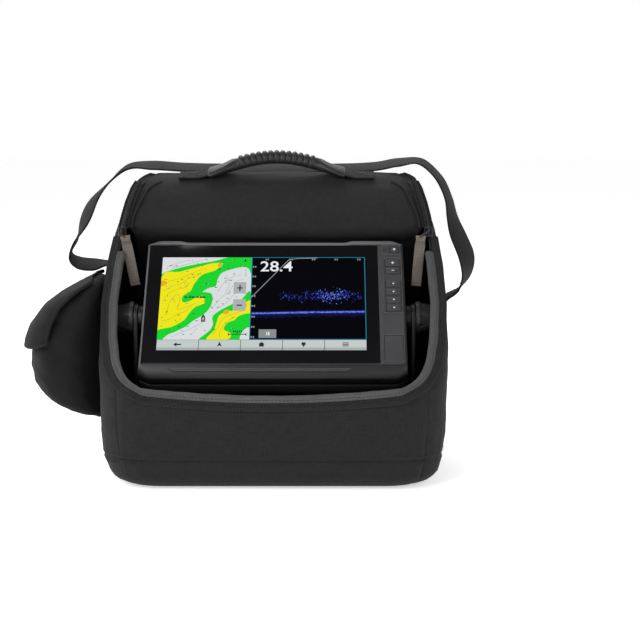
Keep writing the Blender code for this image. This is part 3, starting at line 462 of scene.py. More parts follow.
# what repeats along a path
def pathRepeatTree():
    tree = bpy.data.node_groups.new("pathRepeat", "GeometryNodeTree")
    sockets = (
        ("Path", "NodeSocketGeometry"),
        ("Item", "NodeSocketObject"),
        ("Spacing", "NodeSocketFloat"),
        ("Unevenness", "NodeSocketFloat"),
        ("Seed", "NodeSocketInt"),
        ("Finish", "NodeSocketMaterial"),
    )
    for label, kind in sockets:
        tree.interface.new_socket(label, in_out="INPUT", socket_type=kind)
    tree.interface.new_socket("Result", in_out="OUTPUT", socket_type="NodeSocketGeometry")

    def node(kind, **settings):
        made = tree.nodes.new(kind)
        for key, value in settings.items():
            setattr(made, key, value)
        return made

    def link(source, output, target, socket):
        tree.links.new(source.outputs[output], target.inputs[socket])

    given = node("NodeGroupInput")
    result = node("NodeGroupOutput")
    curve = node("GeometryNodeMeshToCurve")
    even = node("GeometryNodeResampleCurve", mode="LENGTH")
    tangent = node("GeometryNodeInputTangent")
    outward = node("GeometryNodeInputNamedAttribute", data_type="FLOAT_VECTOR")
    outward.inputs["Name"].default_value = "outward"
    turn = node("FunctionNodeAxesToRotation", primary_axis="X", secondary_axis="Z")
    item = node("GeometryNodeObjectInfo")
    spread = node("FunctionNodeRandomValue", data_type="FLOAT")
    least = node("ShaderNodeMath", operation="SUBTRACT")
    least.inputs[0].default_value = 1
    place = node("GeometryNodeInstanceOnPoints")
    real = node("GeometryNodeRealizeInstances")
    coat = node("GeometryNodeSetMaterial")
    link(given, "Path", curve, "Mesh")
    link(curve, "Curve", even, "Curve")
    link(given, "Spacing", even, "Length")
    link(even, "Curve", place, "Points")
    link(tangent, "Tangent", turn, "Primary Axis")
    link(outward, "Attribute", turn, "Secondary Axis")
    link(turn, "Rotation", place, "Rotation")
    link(given, "Item", item, "Object")
    link(item, "Geometry", place, "Instance")
    link(given, "Unevenness", least, 1)
    link(least, "Value", spread, 2)
    spread.inputs[3].default_value = 1
    link(given, "Seed", spread, "Seed")
    link(spread, 1, place, "Scale")
    link(place, "Instances", real, "Geometry")
    link(real, "Geometry", coat, "Geometry")
    link(given, "Finish", coat, "Material")
    link(coat, "Geometry", result, "Result")
    return tree


repeatTree = pathRepeatTree()


def repeatAlong(name, path, outward, item, spacing, finish, body, unevenness=0.0, seed=3):
    mesh = bpy.data.meshes.new(name)
    mesh.from_pydata(path, [(i, i + 1) for i in range(len(path) - 1)], [])
    data = mesh.attributes.new("outward", "FLOAT_VECTOR", "POINT")
    for i, direction in enumerate(outward):
        data.data[i].vector = direction
    holder = bpy.data.objects.new(name, mesh)
    bpy.context.scene.collection.objects.link(holder)
    modifier = holder.modifiers.new("repeat", "NODES")
    modifier.node_group = repeatTree
    wanted = {"Item": item, "Spacing": spacing, "Unevenness": unevenness, "Seed": seed, "Finish": finish}
    for socket in repeatTree.interface.items_tree:
        if socket.in_out == "INPUT" and socket.name in wanted:
            modifier[socket.identifier] = wanted[socket.name]
    applied(holder)
    holder.data.shade_smooth()
    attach(holder, body)
    return holder


def hiddenItem(name, mesh):
    # a small mesh that only feeds the repeat tree
    return bpy.data.objects.new(name, mesh)


def closeRings(bm, rings):
    # faces between rings of vertices, and one over each end
    sides = len(rings[0])
    for a, b in zip(rings, rings[1:]):
        for i in range(sides):
            j = (i + 1) % sides
            bm.faces.new((a[i], a[j], b[j], b[i]))
    bm.faces.new(rings[0])
    bm.faces.new(rings[-1])


def capsule(name, length, radius, sides=6, flat=1.0):
    # lies along X
    def build(bm):
        stations = ((-0.5, 0.35), (-0.36, 0.9), (0.36, 0.9), (0.5, 0.35))
        rings = []
        for place, swell in stations:
            ring = []
            for i in range(sides):
                angle = 2 * math.pi * i / sides
                ring.append(
                    bm.verts.new(
                        (place * length, radius * swell * math.cos(angle), radius * flat * swell * math.sin(angle))
                    )
                )
            rings.append(ring)
        closeRings(bm, rings)

    return meshFrom(name, build)


stitchItem = hiddenItem("stitchItem", capsule("stitchItem", 0.0026, 0.00042, 6, 0.8))
fineStitchItem = hiddenItem("fineStitchItem", capsule("fineStitchItem", 0.0021, 0.00034, 6, 0.8))


def toothMesh():
    # one turn of a zip's coil, across the path
    def build(bm):
        sides, wire = 5, 0.00042
        rings = []
        for i in range(9):
            angle = math.pi * (i / 8)
            centre = Vector((0, 0.0021 * math.cos(angle), 0.0011 * math.sin(angle)))
            out = Vector((0, math.cos(angle), math.sin(angle)))
            ring = []
            for k in range(sides):
                turn = 2 * math.pi * k / sides
                place = centre + out * wire * math.cos(turn) + Vector((wire * math.sin(turn), 0, 0))
                ring.append(bm.verts.new(place))
            rings.append(ring)
        closeRings(bm, rings)

    return meshFrom("zipTooth", build)


toothItem = hiddenItem("toothItem", toothMesh())
print("repeat tree ready")

# the bag's surface
bagShape = {
    # z, half width, front y, back y, front and back corner radius, all in mm
    "levels": [
        (0.4, 136, -88, 104, 34, 32),
        (2.2, 142.5, -94, 110, 36, 34),
        (5.6, 149, -100, 115.5, 39, 36),
        (9, 152.5, -103.6, 118.8, 41, 37),
        (13, 155, -106, 121, 43, 38),
        (26, 158.5, -110, 125, 45, 38),
        (60, 161, -111.5, 127, 45, 38),
        (94, 161.5, -110, 128, 45, 38),
        (104, 162, -99.8, 128, 37, 38),
        (118, 162.5, -85.5, 128, 29, 38),
        (136, 163, -67, 128.5, 22, 38),
        (165, 163, -37.4, 129, 17, 38),
        (198, 161, -3.6, 129, 16, 37),
        (226, 156.5, 25, 128, 15, 35),
        (240, 153.5, 35, 127, 14, 32),
        (253, 150, 45.5, 124, 13, 26),
        (266, 145.5, 60, 118, 12, 20),
        (275, 139, 77, 111, 8, 12),
        (279, 130, 92, 103, 4, 5),
    ],
    "rim": 94,
    "rimSag": 8,
    "sliders": 226,
    "frontSeam": 0.375,
    "openingEdge": 0.3,
    "wall": 0.0034,
    "wrinkle": 0.0019,
    "seed": 11,
}


def rimHeight(s):
    return bagShape["rim"] - bagShape["rimSag"] * max(0.0, 1 - (abs(s) / 1.1) ** 2)


def bagLevel(z):
    levels = bagShape["levels"]
    for i, (low, high) in enumerate(zip(levels, levels[1:])):
        if z <= high[0] or i == len(levels) - 2:
            t = min(1.0, max(0.0, (z - low[0]) / (high[0] - low[0])))
            return [a + (b - a) * t for a, b in zip(low[1:], high[1:])]


def bagPoint(s, z):
    # s: 0 to 1 the front, 1 to 2 its corner, 2 to 3 the side, 3 to 4 the corner, 4 to 5 the back
    w, front, back, rf, rb = bagLevel(z)
    side, s = math.copysign(1, s), abs(s)
    if s <= 1:
        x, y = (w - rf) * s, front
    elif s <= 2:
        angle = (s - 1) * math.pi / 2
        x, y = w - rf + rf * math.sin(angle), front + rf * (1 - math.cos(angle))
    elif s <= 3:
        x, y = w, front + rf + (back - rb - front - rf) * (s - 2)
    elif s <= 4:
        angle = (s - 3) * math.pi / 2
        x, y = w - rb * (1 - math.cos(angle)), back - rb + rb * math.sin(angle)
    else:
        x, y = (w - rb) * (5 - s), back
    return Vector((side * x, y, z)) * mm


def bagNormal(s, z):
    around = bagPoint(s + 0.01, z) - bagPoint(s - 0.01, z)
    upward = bagPoint(s, z + 1) - bagPoint(s, z - 1)
    return around.cross(upward).normalized()


def alongPlan(s, z, distance):
    # s moved round the plan by a distance in metres
    step = 0.01
    return s + step * distance / (bagPoint(s + step, z) - bagPoint(s, z)).length


def sag(point, normal, amount):
    # soft creases
    big = pebble(point, 14, bagShape["seed"])
    mid = pebble((point.x, point.y, point.z * 2.2), 34, 5)
    drag = pebble((point.x * 0.5 + point.z * 0.9, point.y, point.z * 2.4 - point.x * 0.7), 46, 8)
    crease = 0.5 - min(0.5, abs(drag) * 3.2)  # narrow ridges where the noise crosses nought
    return point + normal * amount * (0.85 * big + 0.5 * mid + 0.55 * crease * max(0.0, big + 0.25))


bodyOf = {node: body for body, members in frame["record"]["behaviour"]["bodies"].items() for node in members}


def eased(node, finish, width=0.0004, segments=2, flat=1.0, smooth=32):
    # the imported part's own shape, with its edges rounded
    bm = bmesh.new()
    bm.from_mesh(nodes[node].data)
    bmesh.ops.remove_doubles(bm, verts=bm.verts, dist=2e-6)
    bmesh.ops.dissolve_limit(bm, angle_limit=math.radians(flat), verts=bm.verts, edges=bm.edges)
    mesh = bpy.data.meshes.new(node)
    bm.to_mesh(mesh)
    bm.free()
    piece = addPiece(node + "Eased", mesh, finish, None, None)
    edge = piece.modifiers.new("edge", "BEVEL")
    edge.width = width
    edge.segments = segments
    edge.limit_method = "ANGLE"
    edge.angle_limit = math.radians(28)
    applied(piece)
    piece.data.shade_smooth()
    piece.data.set_sharp_from_angle(angle=math.radians(smooth))
    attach(piece, bodyOf[node])
    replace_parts(piece, node)
    return piece


def seamDip(distance, width=0.0013, depth=0.0016):
    # how far cloth is pulled in near a seam
    return depth * math.exp(-((distance / width) ** 2))


bagSeams = {"front": (29.0,), "side": (29.0,), "back": (29.0, 246.0)}


def nearFloor(z):
    # how freely the cloth may move, from 0 where it rests on the floor
    return min(1.0, max(0.0, (z - 1.5) / 12))


def wallRows(sFrom, sTo, zLow, zHigh, columns, rowStep, seams, puff=0.0012, topEdge=None):
    rows = []
    count = max(2, round((zHigh - zLow) / rowStep))
    for j in range(count + 1):
        level = zLow + (zHigh - zLow) * j / count
        a, b = sFrom(level), sTo(level)
        row = []
        for i in range(columns + 1):
            t = i / columns
            s = a + (b - a) * t
            z = level
            if topEdge and level > 50:
                z -= (zHigh - topEdge(s)) * ((level - 50) / (zHigh - 50)) ** 1.5
            point, normal = bagPoint(s, z), bagNormal(s, z)
            edge = min(t, 1 - t) * columns
            out = puff * math.sin(math.pi * t) * math.sin(math.pi * min(0.98, max(0.02, j / count)))
            out -= 0.0008 * max(0.0, 1 - edge / 2.0) ** 1.5
            out -= sum(seamDip((z - seam) * mm) for seam in seams)
            calm = min(1, edge / 4)
            nearSeam = min([abs(z - seam) for seam in seams] + [30]) / 30
            ripple = pebble((point.x * 2.6, point.y * 2.6, point.z * 0.8), 40, 2) * (1 - nearSeam) * 0.0009
            calm *= nearFloor(z)
            row.append(sag(point, normal, bagShape["wrinkle"] * calm) + normal * (out * nearFloor(z) + ripple * calm))
        rows.append(row)
    return rows


def makeBag():
    low, rim = 0.5, bagShape["rim"]
    seam, opening = 1 + bagShape["frontSeam"], 1 + bagShape["openingEdge"]

    def sideFront(z):
        t = min(1.0, max(0.0, (z - rim) / 5))
        return seam + (opening - seam) * t

    wall = bagShape["wall"]
    made = []
    lap = 0.016  # how far the front wall reaches past its seams
    front = wallRows(
        lambda z: seam + lap, lambda z: -seam - lap, low, rim, 96, 1.5, bagSeams["front"], topEdge=rimHeight
    )
    made.append((gridPiece("bagFrontWall", front, wall, bagCloth, "bag"), "bag_front_wall"))
    sideEnd, sideTop = 3.52, 279  # where the side walls end at the back, and how high they run
    right = wallRows(lambda z: sideEnd, sideFront, low, sideTop, 84, 2.5, bagSeams["side"])
    made.append((gridPiece("bagSideRight", right, wall, bagCloth, "bag"), "bag_side_right"))
    left = wallRows(lambda z: -sideFront(z), lambda z: -sideEnd, low, sideTop, 84, 2.5, bagSeams["side"])
    made.append((gridPiece("bagSideLeft", left, wall, bagCloth, "bag"), "bag_side_left"))

    def backS(t):  # -1 to 1 across the back
        return 5 - 1.49 * t if t >= 0 else -(5 - 1.49 * -t)

    rows = []
    levels, half, top = 105, 24, 270  # rows up the back, columns each side of its middle, and its height
    for j in range(levels + 1):
        z = low + (top - low) * j / levels
        row = []
        for i in range(2 * half + 1):
            t = i / half - 1
            s = backS(-t) if t else 5
            point, normal = bagPoint(s, z), bagNormal(s if abs(t) > 0.02 else 4.98, z)
            edge = (1 - abs(t)) * half
            out = 0.0014 * math.sin(math.pi * j / levels) - 0.0014 * max(0.0, 1 - edge / 2.0)
            out -= sum(seamDip((z - place) * mm) for place in bagSeams["back"])
            if s == 5:
                normal = Vector((0, 1, 0))
            calm = nearFloor(z)
            row.append(sag(point, normal, bagShape["wrinkle"] * 1.4 * calm * min(1, edge / 4)) + normal * out * calm)
        rows.append(row[::-1])
    made.append((gridPiece("bagBackWall", rows, wall, bagCloth, "bag"), "bag_back_wall"))
    for piece, node in made:
        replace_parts(piece, node)
    base = []
    for z, inset in ((0.2, 5.0), (0.3, 4.2), (0.9, 3.6), (4.8, 3.6), (5.4, 4.0), (5.6, 6.0)):
        w, front, back, rf, _ = bagLevel(0.4)
        ring = []
        corners = ((w - rf, front + rf), (w - rf, back - rf), (rf - w, back - rf), (rf - w, front + rf))
        for corner, (cx, cy) in enumerate(corners):
            for k in range(13):
                angle = math.radians(-90 + 90 * corner + 90 * k / 12)
                ring.append(Vector((cx + (rf - inset) * math.cos(angle), cy + (rf - inset) * math.sin(angle), z)) * mm)
        base.append(ring)
    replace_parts(sweptPiece("bagBase", base, bagCloth, "bag"), "bag_bottom")


makeBag()
print("bag walls ready")


# the flap over the top
flapShape = {
    "profile": [
        (81, 152), (79, 172), (72, 190), (60, 205), (46, 216), (35, 223.5), (31, 232), (36, 241),
        (46, 253), (60, 266), (77, 275), (95, 279), (107.5, 276.5), (116.5, 270.2),
    ],
    "columns": 90,
}


def flapHalf(z):
    w, _, _, rf, _ = bagLevel(max(z, bagShape["sliders"]))
    return w - rf * (1 - math.sin(bagShape["openingEdge"] * math.pi / 2))


def makeFlap():
    line = smoothStops(flapShape["profile"], 6)
    rows = []
    for n, point in enumerate(line):
        y, z = point
        before, after = line[max(0, n - 1)], line[min(len(line) - 1, n + 1)]
        run = (after - before).normalized()
        out = Vector((0, -run.y, run.x))
        half = flapHalf(z) - 2 + 4 * min(1.0, max(0.0, (z - 268) / 6))
        if y < 80 and z < bagShape["sliders"] + 4:
            half -= 6 * min(1, (bagShape["sliders"] + 4 - z) / 8)
        row = []
        for i in range(flapShape["columns"] + 1):
            t = 1 - 2 * i / flapShape["columns"]
            place = Vector((half * t, y, z)) * mm
            edge = (1 - abs(t)) * half * mm
            lift = 0.0016 * (1 - t * t) - seamDip(edge - 0.006, 0.0013, 0.0010) - seamDip(edge, 0.002, 0.0012)
            lift += 0.0009 * pebble((place.x, place.y * 1.5, place.z * 1.5), 26, 7)
            lift += 0.0005 * pebble((place.x * 0.5, place.z * 4, 0), 60, 9)
            row.append(place + out * lift)
        rows.append(row)
    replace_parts(gridPiece("bagTopFlap", rows, bagShape["wall"], bagCloth, "bag"), "bag_top_flap")


makeFlap()


# binding round the opening, the lip under it and the open zips' coils
rimShape = {"bindingTop": 4.2, "cornerRise": 25.0, "cornerReach": 0.35, "toothGap": 0.00125, "stitchGap": 0.0036}


def cornerEdge(share):
    # where the opening's rounded corner lies, from 1 at its top to 0 where it meets the front rim
    return 1 + bagShape["openingEdge"] - rimShape["cornerReach"] * (1 - share)


def makeGussets():
    # cloth that fills each rounded corner of the opening
    rise = rimShape["cornerRise"]
    for sign, label in ((1, "Right"), (-1, "Left")):
        rows = []
        for j in range(31):
            t = (j / 30) ** 1.3
            share = math.sqrt(max(0.0, 1 - (1 - t) ** 2))
            start = 1.36 if t < 0.1 else 1.36 - 0.05 * min(1, (t - 0.1) / 0.2)
            row = []
            for i in range(21):
                s = start + (cornerEdge(share) - start) * i / 20
                z = rimHeight(s) + rise * t
                point, normal = bagPoint(s, z), bagNormal(s, z)
                place = sag(point, normal, 0.0006) + normal * 0.0004
                row.append(Vector((sign * place.x, place.y, place.z)))
            rows.append(row if sign > 0 else row[::-1])
        gridPiece(f"cornerGusset{label}", rows, bagShape["wall"], bagCloth, "bag")


makeGussets()


def openingRoute(top=208.0, step=3.0):
    # stations (s, z) along the opening, from the left top round the front to the right top
    rim = bagShape["rim"]
    half = []
    z = top
    while z > rim + rimShape["cornerRise"] + 1:
        half.append((1 + bagShape["openingEdge"], z))
        z -= step
    for k in range(21):
        angle = math.pi / 2 * k / 20
        s = cornerEdge(math.cos(angle))
        half.append((s, rimHeight(s) + rimShape["cornerRise"] * (1 - math.sin(angle))))
    s = half[-1][0] - 0.03
    while s > 0.001:
        half.append((s, rimHeight(s)))
        s -= 0.03
    stations = [(-a, b) for a, b in half] + [(0.0, rimHeight(0))] + [(a, b) for a, b in reversed(half)]
    return stations


def rimFrame(stations):
    points = [bagPoint(s, z) for s, z in stations]
    frames = []
    for n, (s, z) in enumerate(stations):
        before, after = points[max(0, n - 1)], points[min(len(points) - 1, n + 1)]
        along = (after - before).normalized()
        out = bagNormal(s, z)
        out = (out - along * out.dot(along)).normalized()
        over = out.cross(along).normalized()  # out of the wall's edge, into the opening
        if over.z < 0 and abs(s) < 1:
            over = -over
        frames.append((points[n], along, out, over))
    return frames


def ringAround(point, out, over, outline):
    return [point + out * a * mm + over * b * mm for a, b in outline]


def roundedOutline(a0, a1, b0, b1, radius, steps=3):
    found = []
    left, right, low, high = a0 + radius, a1 - radius, b0 + radius, b1 - radius
    for corner, (a, b) in enumerate(((right, high), (left, high), (left, low), (right, low))):
        for k in range(steps + 1):
            angle = math.radians(90 * corner + 90 * k / steps)
            found.append((a + radius * math.cos(angle), b + radius * math.sin(angle)))
    return found


def makeBinding():
    frames = rimFrame(openingRoute())
    sections = []
    for point, _, out, over in frames:
        # the tape folds over the wall's edge and stands wide towards the inside
        wave = 0.35 * pebble(point, 70, 4) + 0.2 * pebble(point, 160, 8)
        atSide = min(1.0, max(0.0, (point.z / mm - 96) / 10))
        top = rimShape["bindingTop"] + 0.8 * atSide + wave
        outline = roundedOutline(-4.4, 0.8 + 0.3 * wave, -2.8, top, 1.2)
        sections.append(ringAround(point, out, over, outline))
    binding = sweptPiece("rimBinding", sections, bindingTape, "bag", 60)
    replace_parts(binding, "rim_binding")
    path = [point + out * 1.0 * mm + over * 0.2 * mm for point, _, out, over in frames]
    outs = [out for _, _, out, _ in frames]
    repeatAlong("bindingStitches", path, outs, fineStitchItem, rimShape["stitchGap"], threadFinish, "bag", 0.1, 5)


def makeZipLip():
    # a folded lip of cloth under the binding, over the lower half of the open zip
    frames = rimFrame(openingRoute(222.0))
    lip, seam = [], []
    for point, _, out, over in frames:
        wave = 0.4 * pebble(point, 45, 14)
        outline = roundedOutline(-0.6, 1.5 + wave * 0.5, -10.4 + wave, -5.6, 0.7)
        lip.append(ringAround(point, out, over, outline))
        seam.append(point + out * 1.75 * mm - over * 9.2 * mm)
    sweptPiece("zipLip", lip, bagCloth, "bag", 60)
    outs = [out for _, _, out, _ in frames]
    repeatAlong("zipLipStitches", seam, outs, fineStitchItem, rimShape["stitchGap"], threadFinish, "bag", 0.1, 6)
    path = [point + out * 0.3 * mm - over * 4.2 * mm for point, _, out, over in frames]
    repeatAlong("openZipCoil", path, outs, toothItem, rimShape["toothGap"], coilFinish, "bag", 0.04, 7)


def makeWallStitches():
    # a stitched line over the seam low on the wall, all the way round
    path, outs = [], []
    s = -4.98
    while s <= 4.98:
        path.append(bagPoint(s, 32.2) + bagNormal(s, 32.2) * 0.0008)
        outs.append(bagNormal(s, 32.2))
        s += 0.06
    repeatAlong("wallStitches", path, outs, fineStitchItem, rimShape["stitchGap"], threadFinish, "bag", 0.1, 4)


makeBinding()
makeZipLip()
makeWallStitches()
print("opening's edge ready")


# closed zips up the hood
zipShape = {
    "levels": (229, 233, 237, 241, 245, 249, 253, 257, 261, 265, 268.5, 271),
    "reach": 4.8,
    "lift": 1.5,
}


def makeZip(sign, label):
    rows, coil, outs, welts = [], [], [], {-6.6: [], 7.0: []}
    for z in zipShape["levels"]:
        edge = 1 + bagShape["openingEdge"]
        row = []
        for k in range(7):
            reach = (k - 3) / 3 * zipShape["reach"]
            s = alongPlan(edge, z, reach * mm)
            lift = zipShape["lift"] - 0.5 * abs(k - 3) / 3
            p = bagPoint(s, z) + bagNormal(s, z) * lift * mm
            row.append(Vector((sign * p.x, p.y, p.z)))
        rows.append(row if sign > 0 else row[::-1])
        p, out = bagPoint(edge, z), bagNormal(edge, z)
        place = p + out * (zipShape["lift"] + 0.9) * mm
        coil.append(Vector((sign * place.x, place.y, place.z)))
        outs.append(Vector((sign * out.x, out.y, out.z)))
        for reach in welts:
            s = alongPlan(edge, z, reach * mm)
            p = bagPoint(s, z) + bagNormal(s, z) * 1.2 * mm
            welts[reach].append(Vector((sign * p.x, p.y, p.z)))
    tape = gridPiece(f"zipTape{label}", rows, 0.0009, zipTape, "bag", 0.0)
    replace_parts(tape, f"zip_{label.lower()}")
    repeatAlong(f"zipCoil{label}", coil, outs, toothItem, rimShape["toothGap"], coilFinish, "bag", 0.03, 8)
    for n, (reach, line) in enumerate(welts.items()):
        tube(f"zipWelt{label}{n}", smoothStops(line, 3), 1.15 * mm, bagCloth, "bag", 10)


def tube(name, path, radius, finish, body, sides=12, closed=False):
    # a round cord along a path, turned with as little twist as it can have
    sections = []
    side = None
    for n, point in enumerate(path):
        if closed:
            before, after = path[n - 1], path[(n + 1) % len(path)]
        else:
            before, after = path[max(0, n - 1)], path[min(len(path) - 1, n + 1)]
        along = (after - before).normalized()
        if side is None:
            side = along.orthogonal().normalized()
        side = (side - along * side.dot(along)).normalized()
        up = along.cross(side)
        r = radius(n / max(1, len(path) - 1)) if callable(radius) else radius
        angles = [2 * math.pi * k / sides for k in range(sides)]
        sections.append([point + (side * math.cos(a) + up * math.sin(a)) * r for a in angles])
    if closed:
        sections.append(sections[0])
    return sweptPiece(name, sections, finish, body, 60, closed)


for zipSign, zipLabel in ((-1, "Left"), (1, "Right")):
    makeZip(zipSign, zipLabel)

# sliders and their tape pulls
pullShape = {
    "at": (148.8, 18.6, 226.4),
    "width": 10.0,
    "thick": 2.0,
    "length": 46.0,
    "leans": (-11, 5),  # degrees, left and right
    "tops": (3.4, -7.5),  # how far beside its slider each one hangs
}


def makeSlider(sign, label, lean):
    place = Vector(pullShape["at"]) * mm
    place.x *= sign
    low = label.lower()
    eased(f"zip_slider_{low}", blackMetal, 0.0009, 3)
    turn = Matrix.Rotation(math.radians(-40), 3, "X")
    arch = ((-1.8, 3.6), (-3.6, 3.0), (-4.4, 0.6), (-4.2, -2.4), (-3.2, -4.2), (-1.8, -4.6))
    bridge = [place + turn @ Vector((0, y, z)) * mm for y, z in arch]
    tube(f"sliderBridge{label}", smoothStops(bridge, 4), 0.8 * mm, blackMetal, f"{low}_slider", 8)
    top = place + Vector((pullShape["tops"][(sign + 1) // 2], -7.4, -4)) * mm
    tilt = Matrix.Rotation(math.radians(lean), 3, "Y")
    loop = []
    inner = place + turn @ Vector((0, -3.0, -0.6)) * mm
    for k in range(24):
        angle = 2 * math.pi * k / 24
        middle = (inner + top) / 2
        reach = (inner - top) / 2
        sideways = reach.cross(Vector((0, 0.3, 1))).normalized()
        loop.append(middle + reach * 1.28 * math.cos(angle) + sideways * 2.9 * mm * math.sin(angle))
    tube(f"pullLoop{label}", loop, 0.65 * mm, blackMetal, f"{low}_pull", 8, closed=True)
    sections = []
    count = 40
    for j in range(count + 1):
        z = 1.0 - (pullShape["length"] + 3) * j / count
        waist = 1 - 0.12 * math.exp(-((z + 3.5) / 2.2) ** 2)
        halfWide = pullShape["width"] / 2 * waist
        thick = pullShape["thick"] / 2 * (1 + 0.35 * math.exp(-((z - 0.5) / 2.0) ** 2))
        bow = 0.5 * math.sin(j / count * math.pi * 1.1)
        ring = []
        for a, b in roundedOutline(-halfWide, halfWide, -thick, thick, min(thick * 0.95, 0.95), 3):
            ring.append(top + tilt @ Vector((a, b + bow, z)) * mm)
        sections.append(ring)
    pull = sweptPiece(f"pullTape{label}", sections, pullTape, f"{low}_pull", 60)
    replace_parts(pull, f"zip_pull_{low}")
    for n, z in enumerate((-5.2, -7.0, -45.0)):
        front = -pullShape["thick"] / 2 - 0.1 + 0.5 * math.sin((1 - z) / 49 * math.pi * 1.1)
        path = [top + tilt @ Vector((x, front, z)) * mm for x in (-4.2, 0, 4.2)]
        outs = [Vector((0, -1, 0))] * 3
        repeatAlong(
            f"pullStitches{label}{n}", path, outs, fineStitchItem, 0.0021, threadFinish, f"{low}_pull", 0.1, 9 + n
        )


for sign, label, lean in zip((-1, 1), ("Left", "Right"), pullShape["leans"]):
    makeSlider(sign, label, lean)
print("zips ready")

# handle, grip and shoulder strap
handleShape = {"y": 80.0, "ribs": 13, "pitch": 5.8, "webWidth": 24.0, "webThick": 1.9}


def handleHeight(x):
    reach = min(1.0, abs(x) / 82)
    return 277.9 + 17.1 * (0.5 + 0.5 * math.cos(math.pi * reach)) ** 0.72


def handleAcross(x):
    roll = math.radians(13) * min(1.0, max(0.0, (abs(x) - 44) / 30))
    return Vector((0, math.cos(roll), math.sin(roll)))


def handlePoint(x):
    return Vector((x, handleShape["y"], handleHeight(x))) * mm


def webbing(name, centres, acrosses, widths, thick, finish, body):
    # a flat woven band with rolled edges
    sections = []
    for n, (centre, across, width) in enumerate(zip(centres, acrosses, widths)):
        before, after = centres[max(0, n - 1)], centres[min(len(centres) - 1, n + 1)]
        along = (after - before).normalized()
        across = (across - along * across.dot(along)).normalized()
        up = along.cross(across)
        ring = []
        for a, b in roundedOutline(-width / 2, width / 2, -thick / 2, thick / 2, thick * 0.48, 3):
            ring.append(centre + across * a * mm + up * b * mm)
        sections.append(ring)
    return sweptPiece(name, sections, finish, body, 60)


def makeHandle():
    xs = [-98 + i * 196 / 112 for i in range(113)]
    widths = [handleShape["webWidth"] - (4 if abs(x) < 60 else 0) - (9 if abs(x) < 46 else 0) for x in xs]
    points, acrosses = [handlePoint(x) for x in xs], [handleAcross(x) for x in xs]
    band = webbing("handleBand", points, acrosses, widths, handleShape["webThick"], strapWebbing, "bag")
    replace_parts(band, "handle_webbing")
    ribs = [(n - (handleShape["ribs"] - 1) / 2) * handleShape["pitch"] for n in range(handleShape["ribs"])]
    ends = [  # place along the handle, half width, half height
        (-68.5, 13.6, 2.4), (-68, 15.2, 3.6), (-66, 15.8, 4.4), (-61, 15.2, 4.7),
        (-52, 13.8, 5.2), (-47, 11.4, 6.2), (-43, 9.2, 7.0),
    ]
    places = list(ends)
    pitch = handleShape["pitch"]
    for x in ribs:
        for k in range(12):
            t = k / 12 - 0.5
            swell = max(0.0, math.cos(math.pi * t)) ** 0.8
            places.append((x + t * pitch, 7.0 + 1.4 * swell, 5.9 + 2.3 * swell))
    places += [(-x, w, h) for x, w, h in reversed(ends)]
    sections = []
    for x, halfWidth, halfHeight in places:
        along = (handlePoint(x + 1) - handlePoint(x - 1)).normalized()
        across = handleAcross(x)
        up = across.cross(along)
        ring = []
        for k in range(32):
            angle = 2 * math.pi * k / 32
            # beads on top, smooth underneath
            tall = halfHeight if math.sin(angle) * up.z > 0 else min(halfHeight, 5.6)
            ring.append(handlePoint(x) + across * halfWidth * mm * math.cos(angle) + up * tall * mm * math.sin(angle))
        sections.append(ring)
    grip = sweptPiece("ribbedGrip", sections, gripRubber, "bag", 75)
    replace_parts(grip, "carry_grip")
    for n, side in enumerate((-1, 1)):
        for m, (x0, x1) in enumerate(((74, 94), (94, 74))):
            path = []
            for k in range(9):
                x = side * (x0 + (x1 - x0) * k / 8)
                reach = -9 + 18 * k / 8
                path.append(handlePoint(x) + handleAcross(x) * reach * mm + Vector((0, 0, 1.15)) * mm)
            outs, seed = [Vector((0, 0, 1))] * 9, 20 + n * 2 + m
            repeatAlong(f"handleCross{n}{m}", path, outs, stitchItem, 0.0032, threadFinish, "bag", 0.1, seed)


makeHandle()

strapShape = {
    "width": 36.0,
    "thick": 1.8,
    "stops": [  # middle line in mm, then the width direction's x and z
        (-165.2, 72, 186.8, 0, 0), (-171, 72, 189, 0, 0), (-184, 72, 188, 0, -0.2), (-200, 71, 190, 0.05, -0.2),
        (-208.5, 70, 198, 0.1, -0.1),
        (-203, 70, 212, 0.05, 0), (-194, 71, 232, 0.4, 0.1), (-184, 76, 254, 0.42, 0.2), (-167, 85, 273, 0.15, 0.1),
        (-150, 98, 284, 0, -0.1), (-128, 110, 286, 0, -0.17), (-98, 114.5, 284, 0, -0.17), (-60, 115.5, 283, 0, -0.17),
        (0, 115.5, 283, 0, -0.17), (60, 115.5, 283, 0, -0.17), (98, 114.5, 284.5, 0, -0.17), (124, 109, 289, 0, -0.15),
        (146, 99, 289.5, -0.1, -0.1), (163, 88, 276, -0.25, 0), (173, 80, 256, -0.25, 0), (177.5, 74, 236, -0.35, 0),
        (183, 68, 218, -0.5, 0), (190.5, 62, 198, -0.5, 0), (190.5, 59, 180, -0.35, 0), (183, 58, 165, -0.15, 0),
        (170.5, 58, 156.5, 0, 0), (167.4, 58, 150.2, 0, 0),
    ],
}


